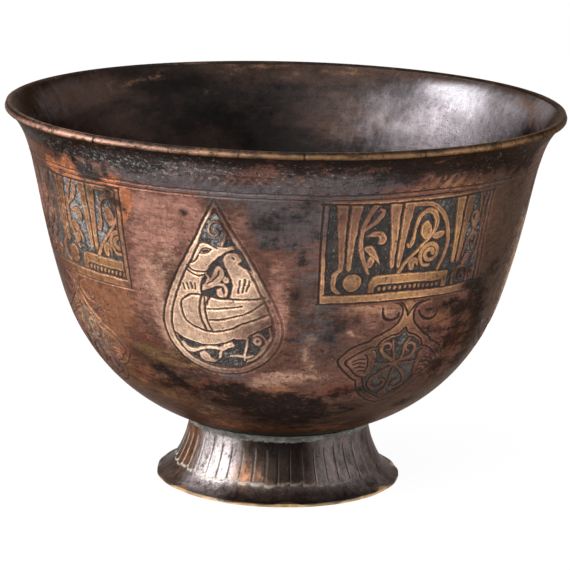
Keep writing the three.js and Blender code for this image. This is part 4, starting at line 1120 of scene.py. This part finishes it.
def bowlColumns(spans):
    # even steps, and more of them at the edges of the tiles' pockets and at the cracks
    lines = list(np.arange(bowl["columns"]) * 360 / bowl["columns"])
    for left, right, _, _ in spans[1:]:
        lines += [left, left + tile["lap"], right - tile["lap"], right]
    for place, _ in lip["cracks"]:
        lines += [place + step for step in lip["crackSteps"]]
    return np.unique(np.round(np.array(lines) % 360, 6))


def bowlRows(spans):
    lines = list(np.arange(bowl["rowStart"], outlineLength - bowl["rowEnd"], bowl["rowStep"]))
    lines += [outlineLength - left for left in bowl["lastRows"]]
    for _, _, top, bottom in spans:
        lines += [top, top + tile["lap"], bottom - tile["lap"], bottom]
    return np.unique(np.round([0] + lines, 6))[::-1]


def bowlDepth(azimuth, down, spans):
    # the pocket's depth inside a span and nothing outside, with the step between its two closest lines
    depth, inset = np.zeros((len(down), len(azimuth))), tile["lap"] / 2
    for left, right, top, bottom in spans:
        turn = (azimuth - left) % 360
        across = (turn > inset) & (turn < right - left - inset) | (right - left == 360)
        along = (down > top + inset) & (down < bottom - inset)
        depth[np.ix_(along, across)] = tile["pocket"]
    return depth


lip = dict(
    # from the outer corner over the top to the inner edge: radius, height, how rubbed it is; its light and dark rows
    # are partly painted highlight and painted shade
    section=[(83.3, 112.42, 0.05), (83.68, 112.6, 0.2), (83.92, 112.95, 0.7), (83.96, 113.35, 1.0),
             (83.84, 113.75, 0.75), (83.66, 114.05, 0.3), (83.64, 114.3, 0.1), (83.56, 114.55, 0.05),
             (83.3, 114.72, 0.25), (82.8, 114.7, 0.5), (82.3, 114.62, 0.2), (81.85, 114.45, 0.1),
             (81.55, 114.2, 0.1), (81.42, 113.95, 0.05)],
    # azimuth and strength
    cracks=[(-39.6, 1.0), (-22.4, 0.4), (-8.7, 0.3), (3.6, 0.4), (27.2, 0.4), (45.8, 0.5), (61, 0.5), (96, 0.7),
            (133, 0.6), (170, 0.5), (214, 0.7), (251, 0.4), (290, 0.6)],
    # where the lip is rubbed and painted with a highlight: azimuth, half width in degrees and percent
    shine=[(-86, 16, 55), (-52, 22, 100), (-20, 14, 50), (6, 14, 42), (34, 22, 65), (70, 16, 20), (128, 14, 12),
           (205, 16, 12)],
    # turns round the lip, size and phase
    dents=[(9, 1, 2), (23, 1, 0)],
    crackSteps=(-0.3, -0.1, 0.1, 0.3), crackReach=0.16, crackDepth=0.25, dentDepth=0.16, dentStart=1.1, gold=(-35, 0),
)
# the inside's patches in the same form as those outside; the first two kinds are a painted sheen and a painted
# highlight
insideSpots = dict(
    wellAndSheen=[
        (97, 3, 8, 5, 80), (103, 1.8, 4, 3, 60), (112, 7, 8, 7, 60), (122, 12, 13, 14, 60), (136, 5, 10, 8, 100),
        (137, 20, 14, 15, 45), (139, 50, 30, 20, 50), (155, 18, 13, 12, 25), (156, 9, 9, 7, 17), (236, 5, 14, 4, 18),
        (248, 7, 16, 7, 34),
    ],
    wellPaintedHighlight=[
        (130, 8, 6, 5, 55), (137, 3.8, 9, 3.8, 90),
    ],
    # brown on the inner wall, and along the back rim a strip painted as a dark reflection
    wellBrown=[
        (101, 4, 10, 7, 30), (118, 0, 8, 1.6, 80), (148, 0, 26, 2.4, 115), (172, 9, 10, 9, 30), (185, 3, 40, 3.4, 34),
        (236, 6, 16, 6, 90), (290, 20, 30, 20, 40),
    ],
    wellRust=[
        (-60, 30, 20, 12, 50), (20, 50, 20, 9, 50), (96, 8, 9, 6, 50), (104, 5, 5, 3, 50), (110, 2.6, 6, 2.2, 90),
        (150, 1, 10, 1.2, 50), (166, 1.8, 8, 1.4, 55), (177, 7, 9, 8, 10), (185, 1, 14, 1.6, 50), (190, 5, 16, 5, 12),
        (200, 9, 3, 2, 30), (212, 3.6, 6, 1.4, 40), (222, 4.6, 8, 2, 45),
    ],
)


def makeBowl():
    # Rows go up the outside from the underside to the lip, over the lip and down the inside; a fan closes each end.
    spans = pocketSpans()
    azimuth, down = bowlColumns(spans), bowlRows(spans)
    columns = len(azimuth)
    outer = wallPlaces(azimuth[None, :], down[:, None], bowlDepth(azimuth, down, spans))
    section = np.array(lip["section"])
    rubbed = np.broadcast_to(section[:, 2:], (len(section), columns))
    split = sum(depth * hump(azimuth, place, lip["crackReach"]) for place, depth in lip["cracks"])
    dents = lip["dentDepth"] * np.clip(ripples(azimuth, lip["dents"]) - lip["dentStart"], 0, 1)
    dents = dents + lip["crackDepth"] * split
    over = turnedPlaces(np.broadcast_to(azimuth, rubbed.shape), section[:, :1] - rubbed * dents, section[:, 1:2])
    insideDown = np.arange(bowl["insideStart"], outlineLength - bowl["rowEnd"], bowl["insideStep"])
    insideDown = np.concatenate([insideDown, outlineLength - np.array(bowl["insideLastRows"])])
    taper = np.clip(1 - insideDown / bowl["lipTaper"], 0, 1) ** 2
    thick = bowl["wall"] + (bowl["lipWall"] - bowl["wall"]) * taper
    inner = wallPlaces(azimuth[None, :], insideDown[:, None], np.broadcast_to(thick[:, None], (len(thick), columns)))
    grid = np.concatenate([outer, over, inner])
    rows = len(grid)
    middles = [[0, 0, bowl["underside"]], [0, 0, bowl["underside"] + bowl["wall"]]]
    j = np.arange(columns)
    k = (j + 1) % columns
    last = (rows - 1) * columns
    under = np.stack([np.full(columns, rows * columns), k, j], -1)
    wellFloor = np.stack([np.full(columns, rows * columns + 1), last + j, last + k], -1)

    layers = toneAndLightLayers(azimuth[None, :], np.concatenate([down, np.zeros(len(section)), insideDown])[:, None])
    first, after = len(down), len(down) + len(section)
    for name in ("inside", "lip", "lipLight", "lipGold", "smear", *insideSpots):
        layers[name] = np.zeros((rows, columns))
    layers["smear"][:first] = smooth(*bowl["smear"], down)[:, None]
    layers["inside"][after - 1:] = 1
    layers["lip"][first:after - 1] = 1
    layers["lip"][first - 1] = 0.5
    shine = ellipses([(place, 0, reach, 1, percent) for place, reach, percent in lip["shine"]], azimuth, 0 * azimuth)
    # rubbed metal and painted highlight on the lip, broken at the cracks
    layers["lipLight"][first:after] = np.clip(rubbed * shine - split, 0, 1)
    layers["lipGold"][:] = smooth(*lip["gold"], aside(azimuth))
    for name, spots in insideSpots.items():
        layers[name][after - 1:] = ellipses(spots, azimuth[None, :], np.concatenate([[0], insideDown])[:, None])
    layers = {key: np.concatenate([values.ravel(), [values[0, 0], values[-1, 0]]]) for key, values in layers.items()}
    places = np.concatenate([grid.reshape(-1, 3), middles])
    faces = [gridFaces(rows, columns, wrap=True), under, wellFloor]
    piece = makeObject("bowlBody", places, faces, bronze, layers, 50)
    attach(piece, "root")
    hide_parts("bowl_shell")


makeBowl()
print("stage: bowl")

fill = dict(depth=0.34, thickness=0.35, step=0.5, lumps=0.06, waves=[(1.7, 2.3), (1.1, -1.9)])
fillSpans = [
    # name, node, slot, field, low and high x, low and high y
    ("panelCompound", "panel_fill", "panel_compound", "panel", (-27.4, 27.5), (3.2, 27.6)),
    ("slotCompound", "bead_slot_fill", "panel_compound", "panel", (-27.4, 27.5), (-0.6, 3.2)),
    ("dropUpperCompound", "drop_upper_fill", "drop_compound", "drop", (-9, 11), (7, 37)),
    ("dropLowerCompound", "drop_lower_fill", "drop_compound", "drop", (-16, 16), (-14, 7)),
    ("pendantCompound", "pendant_fill", "pendant_compound", "pendant", (-16.8, 16.8), (-15.8, 12.6)),
]


def makeFill(name, node, field, azimuth, xSpan, ySpan):
    # A thin slab under the metal's face. Its own face is lumpy: lumps times the product of
    # sin(a * down + b * azimuth) over the waves (a, b).
    columns, rows = (int((span[1] - span[0]) / fill["step"]) + 2 for span in (xSpan, ySpan))
    angles = azimuth + np.degrees(np.linspace(*xSpan, columns) / field["radius"])
    down = field["foot"] - np.linspace(*ySpan[::-1], rows)
    lumps = np.prod([np.sin(np.add.outer(down * a, angles * b)) for a, b in fill["waves"]], 0)
    depth = fill["depth"] + fill["lumps"] * lumps
    places, faces = closedTile(angles, down, depth, fill["depth"] + fill["thickness"], 1)
    layers = {kind: np.tile(ellipses(spots, angles[None, :], down[:, None]).ravel(), 2)
              for kind, spots in compoundPatches.items()}
    piece = makeObject(name, places, faces, compound, layers)
    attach(piece, "root")
    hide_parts(node)


for name, node, slot, kind, xSpan, ySpan in fillSpans:
    for count, azimuth in enumerate(copies[kind], 1):
        makeFill(f"{name}_{count}", f"{node}_{count}", fields[kind], azimuth, xSpan, ySpan)
print("stage: compound")

foot = dict(
    radius=37.2, edge=1.0, waist=31.6, waistHeight=5.0, neck=27.8, neckFoot=16.9, top=18.7, wall=1.7, ring=2.6,
    columns=960, tongues=48, tongueFoot=5.3, ragged=0.45, arch=0.35, tilt=0.22, lineWidth=0.5,
    lineDepth=0.34, lineSoft=0.06, strengths=(0.55, 1.0), slant=0.5, flangeStep=0.3, inset=0.11, chalk=(-22, 4),
    chalkFill=0.45, smear=(16.4, 17.6), profilePoints=56, insideEvery=5, flarePull=(1.2, 0.6),
    neckPull=(-2.6, 2.4), neckTop=17.6, insideTop=18.2,
    # heights between which the lines, the step of the flange and the edge's wander fade
    lineFade=(14.0, 15.6), stepFade=(8, 14), flangeFade=(1.5, 4.6), wanderFade=(0.8, 2.4),
    # from the outermost place: how far out and how high the standing edge's corner is
    corner=[(-0.25, 0.0), (-0.04, 0.2), (0, 0.55)],
    # turns round the foot, size, phase: degrees by which the tongues lean, and how the standing edge wanders
    lean=[(3, 0.9, 0), (11, 0.35, 0)],
    wander=[(7, 0.22, 1), (19, 0.16, 0)],
    # azimuth and size
    nicks=[(-52, 0.5), (-20, 0.4), (34, 0.9), (100, 0.6), (170, 0.7), (230, 0.5)], nickReach=4,
    # azimuth, half width, strength, and the heights over which it ends
    tawny=[(-68, 13, 0.85, (20, 21)), (-20, 5, 0.8, (8, 11)), (3, 12, 0.14, (10, 14))],
)


def footProfile():
    # up the outside from the standing edge to the neck, then down the inside, one wall further in
    r, waist, neck, edge = foot["radius"], foot["waist"], foot["neck"], foot["edge"]
    low, high = foot["flarePull"], foot["neckPull"]
    flare = bezier((r, edge), (waist + low[0], edge + low[1]), (waist + high[0], foot["waistHeight"] + high[1]),
                   (neck, foot["neckFoot"]), foot["profilePoints"])
    outside = np.vstack([[(r + x, y) for x, y in foot["corner"]], flare,
                         [(neck, foot["neckTop"]), (neck, foot["top"])]])
    inside = (flare + foot["wall"] * sideways(flare))[::-1][::foot["insideEvery"]]
    inside = inside[inside[:, 1] > 0.4]
    ring = r - foot["ring"]
    inside = np.vstack([[(neck - foot["wall"], foot["insideTop"])], inside, [(ring, 0.15), (ring + 0.2, 0.0)]])
    return outside, inside


def makeFoot():
    # The radius is the profile's, less the flange's step, less a groove along each line between two tongues, which
    # end raggedly above the flange.
    outside, inside = footProfile()
    profile = np.vstack([outside, inside])
    columns = foot["columns"]
    azimuth = np.arange(columns) * 360 / columns
    turn = aside(azimuth)
    radius, height = (np.repeat(profile[:, k:k + 1], columns, 1) for k in (0, 1))
    front = (np.arange(len(profile)) < len(outside))[:, None] * 1.0

    pitch = 360 / foot["tongues"]
    place = (azimuth + ripples(azimuth, foot["lean"])) / pitch
    tongue = np.floor(place).astype(int) % foot["tongues"]
    across = place - np.floor(place)  # 0 to 1 over one tongue
    rng = np.random.default_rng(5)
    ends = rng.uniform(-foot["ragged"], foot["ragged"], foot["tongues"])[tongue]
    strength = rng.uniform(*foot["strengths"], foot["tongues"])[tongue]
    end = foot["tongueFoot"] + ends + foot["slant"] * (across - 0.5) - foot["arch"] * np.sin(across * math.pi)
    away = np.minimum(across, 1 - across) * math.radians(pitch) * radius
    chalk = 1 - smooth(*foot["chalk"], turn)
    line = 1 - smooth(foot["lineSoft"], foot["lineWidth"] / 2 + foot["lineSoft"], away)
    line = line * strength * (1 - foot["chalkFill"] * chalk)
    body = smooth(end, end + 0.3, height) * (1 - smooth(*foot["lineFade"], height))
    step = smooth(end - 0.25, end + 0.1, height) * (1 - smooth(*foot["stepFade"], height))
    mark = line * body * front
    sunk = foot["flangeStep"] * (1 - step) * smooth(*foot["flangeFade"], height) + foot["lineDepth"] * mark
    radius = radius - front * (sunk + foot["inset"] - (across - 0.5) * foot["tilt"] * body)
    radius[:2] += foot["inset"]
    nicks = sum(size * hump(azimuth, spot, foot["nickReach"]) for spot, size in foot["nicks"])
    wander = ripples(azimuth, foot["wander"])
    lost = (1 - smooth(*foot["wanderFade"], height)) * front
    radius = radius - lost * np.clip(0.16 + wander * 0.5 + nicks * 0.2, 0, 1)

    crust = (1 - smooth(0.1, 0.5, np.abs(height - end))) * (height > 2.4)
    # a band beside one side of each line, lightened in the material as a painted highlight
    paintedRidgeHighlight = (1 - smooth(0.05, 0.3, np.abs(away - 0.42))) * (across < 0.5) * body * strength
    rubbed = 1 - smooth(0.45 + 0.9 * wander, 1.0 + 0.6 * nicks + 2.2 * np.clip(wander, -0.2, 1), height)
    tawny = sum(strength * hump(turn, place, reach) * (1 - smooth(*ending, height))
                for place, reach, strength, ending in foot["tawny"])
    layers = dict(
        groove=np.clip(mark * 1.2, 0, 1),
        paintedRidgeHighlight=paintedRidgeHighlight * front * (1 - 0.75 * hump(turn, 6, 14, 4)),
        deposit=np.clip(crust + line * body * 0.5 * (turn < 0), 0, 1) * front * (1 - 0.65 * smooth(5, 30, turn)),
        edge=rubbed * front,
        tawny=tawny * (0.3 + 0.7 * smooth(4, 6, height)),
        # a grey tone on the right, at the front left and on the flange, partly painted sheen
        slate=np.clip(smooth(12, 30, turn) + hump(turn, -40, 14) + 0.7 * (1 - smooth(4, 6, height)), 0, 1),
        # a painted highlight at the front left, and a faint one at the right
        paintedHighlight=hump(turn, -41, 15, 4) + 0.08 * hump(turn, 42, 16),
        # painted shade at the front middle, above the flange
        paintedShade=hump(turn, 5, 14, 4) * smooth(4, 7, height),
        chalk=chalk,
        smear=smooth(*foot["smear"], height) * front,
    )
    piece = makeTube("footBody", azimuth, radius, height, footBronze, layers, 50)
    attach(piece, "root")
    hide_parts("foot")


makeFoot()
print("stage: foot")

seam = dict(
    neck=27.7, leg=1.7, columns=480, lumps=0.22, ceiling=19.2, rows=9, gap=0.03, outBend=1.7, downBend=1.5,
    lift=0.16, over=0.05, inset=0.4, innerTop=0.3, innerFoot=-1.4,
    waves=[(5, 1, 1), (13, 0.7, 0), (29, 0.6, 2), (53, 0.5, 0)],
)


def makeSeam():
    # a hollow fillet between the neck and the underside, whose legs wander: leg * t^outBend out and
    # leg * (1 - t)^downBend down
    columns, neck, ceiling = seam["columns"], seam["neck"], seam["ceiling"]
    azimuth = np.arange(columns) * 360 / columns
    leg = seam["leg"] + seam["lumps"] * ripples(azimuth, seam["waves"])
    t = np.linspace(0, 1, seam["rows"])[:, None]
    radius = neck + leg * (seam["gap"] + (1 - seam["gap"]) * t ** seam["outBend"])
    height = ceiling + seam["over"] - leg * (1 - t) ** seam["downBend"] + t * leg * seam["lift"]
    radius = np.vstack([radius, np.full((2, columns), neck - seam["inset"])])
    height = np.vstack([height, *(np.full(columns, ceiling + seam[end]) for end in ("innerTop", "innerFoot"))])
    piece = makeTube("solderSeam", azimuth, radius, height, solder)
    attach(piece, "root")
    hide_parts("foot_solder")


makeSeam()
print("stage: solder")

floor = dict(size=6.0, tone=(0.88, 0.88, 0.88), rough=0.9, glow=0.92, strength=1.03)


def seenRays(tree):
    # 1 for rays from the camera, a mirror or a glass
    path = tree.nodes.new("ShaderNodeLightPath")
    total = path.outputs["Is Camera Ray"]
    for name in ("Is Glossy Ray", "Is Transmission Ray"):
        most = tree.nodes.new("ShaderNodeMath")
        most.operation = "MAXIMUM"
        tree.links.new(total, most.inputs[0])
        tree.links.new(path.outputs[name], most.inputs[1])
        total = most.outputs[0]
    return total


def makeFloor():
    # matte, and to rays from the camera it mostly glows, so that it melts into the white background
    half = floor["size"] / 2
    mesh = bpy.data.meshes.new("floor")
    mesh.from_pydata([(-half, -half, 0), (half, -half, 0), (half, half, 0), (-half, half, 0)], [], [(0, 1, 2, 3)])
    net = Net("floor")
    net.finish(floor["tone"], floor["rough"], 0.0)
    glow = net.node("ShaderNodeEmission", None, {"Strength": floor["strength"]})
    share = Wire(net, seenRays(net.tree)) * floor["glow"]
    mix = net.node("ShaderNodeMixShader", None, {0: share, 1: Wire(net, net.shader.outputs[0]), 2: glow})
    net.tree.links.new(mix.socket, net.output.inputs[0])
    mesh.materials.append(net.material)
    piece = bpy.data.objects.new("floor", mesh)
    bpy.context.collection.objects.link(piece)


makeFloor()

lights = [
    # name, place, size, power
    ("key", (-1.08, -0.27, 0.47), 0.8, 14.0),
    ("fill", (1.06, -0.32, 0.38), 0.7, 2.3),
    ("front", (-0.64, -1.12, 0.86), 0.9, 19.5),
    ("top", (0.1, 0.35, 1.3), 1.0, 5.0),
]
lightTarget = (0, 0, 0.06)
# the background's strength for rays that light the bowl and for those that are seen
background = dict(unseen=0.45, seen=1.0)


def makeLights():
    for name, place, size, power in lights:
        data = bpy.data.lights.new(name, "AREA")
        data.shape = "SQUARE"
        data.size = size
        data.energy = power
        lamp = bpy.data.objects.new(name, data)
        lamp.location = place
        lamp.rotation_euler = (Vector(lightTarget) - Vector(place)).to_track_quat("-Z", "Y").to_euler()
        bpy.context.collection.objects.link(lamp)


def makeWorld():
    world = bpy.data.worlds.new("studio")
    bpy.context.scene.world = world
    world.use_nodes = True
    tree = world.node_tree
    tree.nodes.clear()
    strength = tree.nodes.new("ShaderNodeMapRange")
    strength.inputs["To Min"].default_value = background["unseen"]
    strength.inputs["To Max"].default_value = background["seen"]
    tree.links.new(seenRays(tree), strength.inputs["Value"])
    white = tree.nodes.new("ShaderNodeBackground")
    white.inputs["Color"].default_value = (1, 1, 1, 1)
    tree.links.new(strength.outputs[0], white.inputs["Strength"])
    output = tree.nodes.new("ShaderNodeOutputWorld")
    tree.links.new(white.outputs[0], output.inputs[0])


makeLights()
makeWorld()
bpy.context.scene.view_settings.view_transform = "Standard"
print("stage: light")
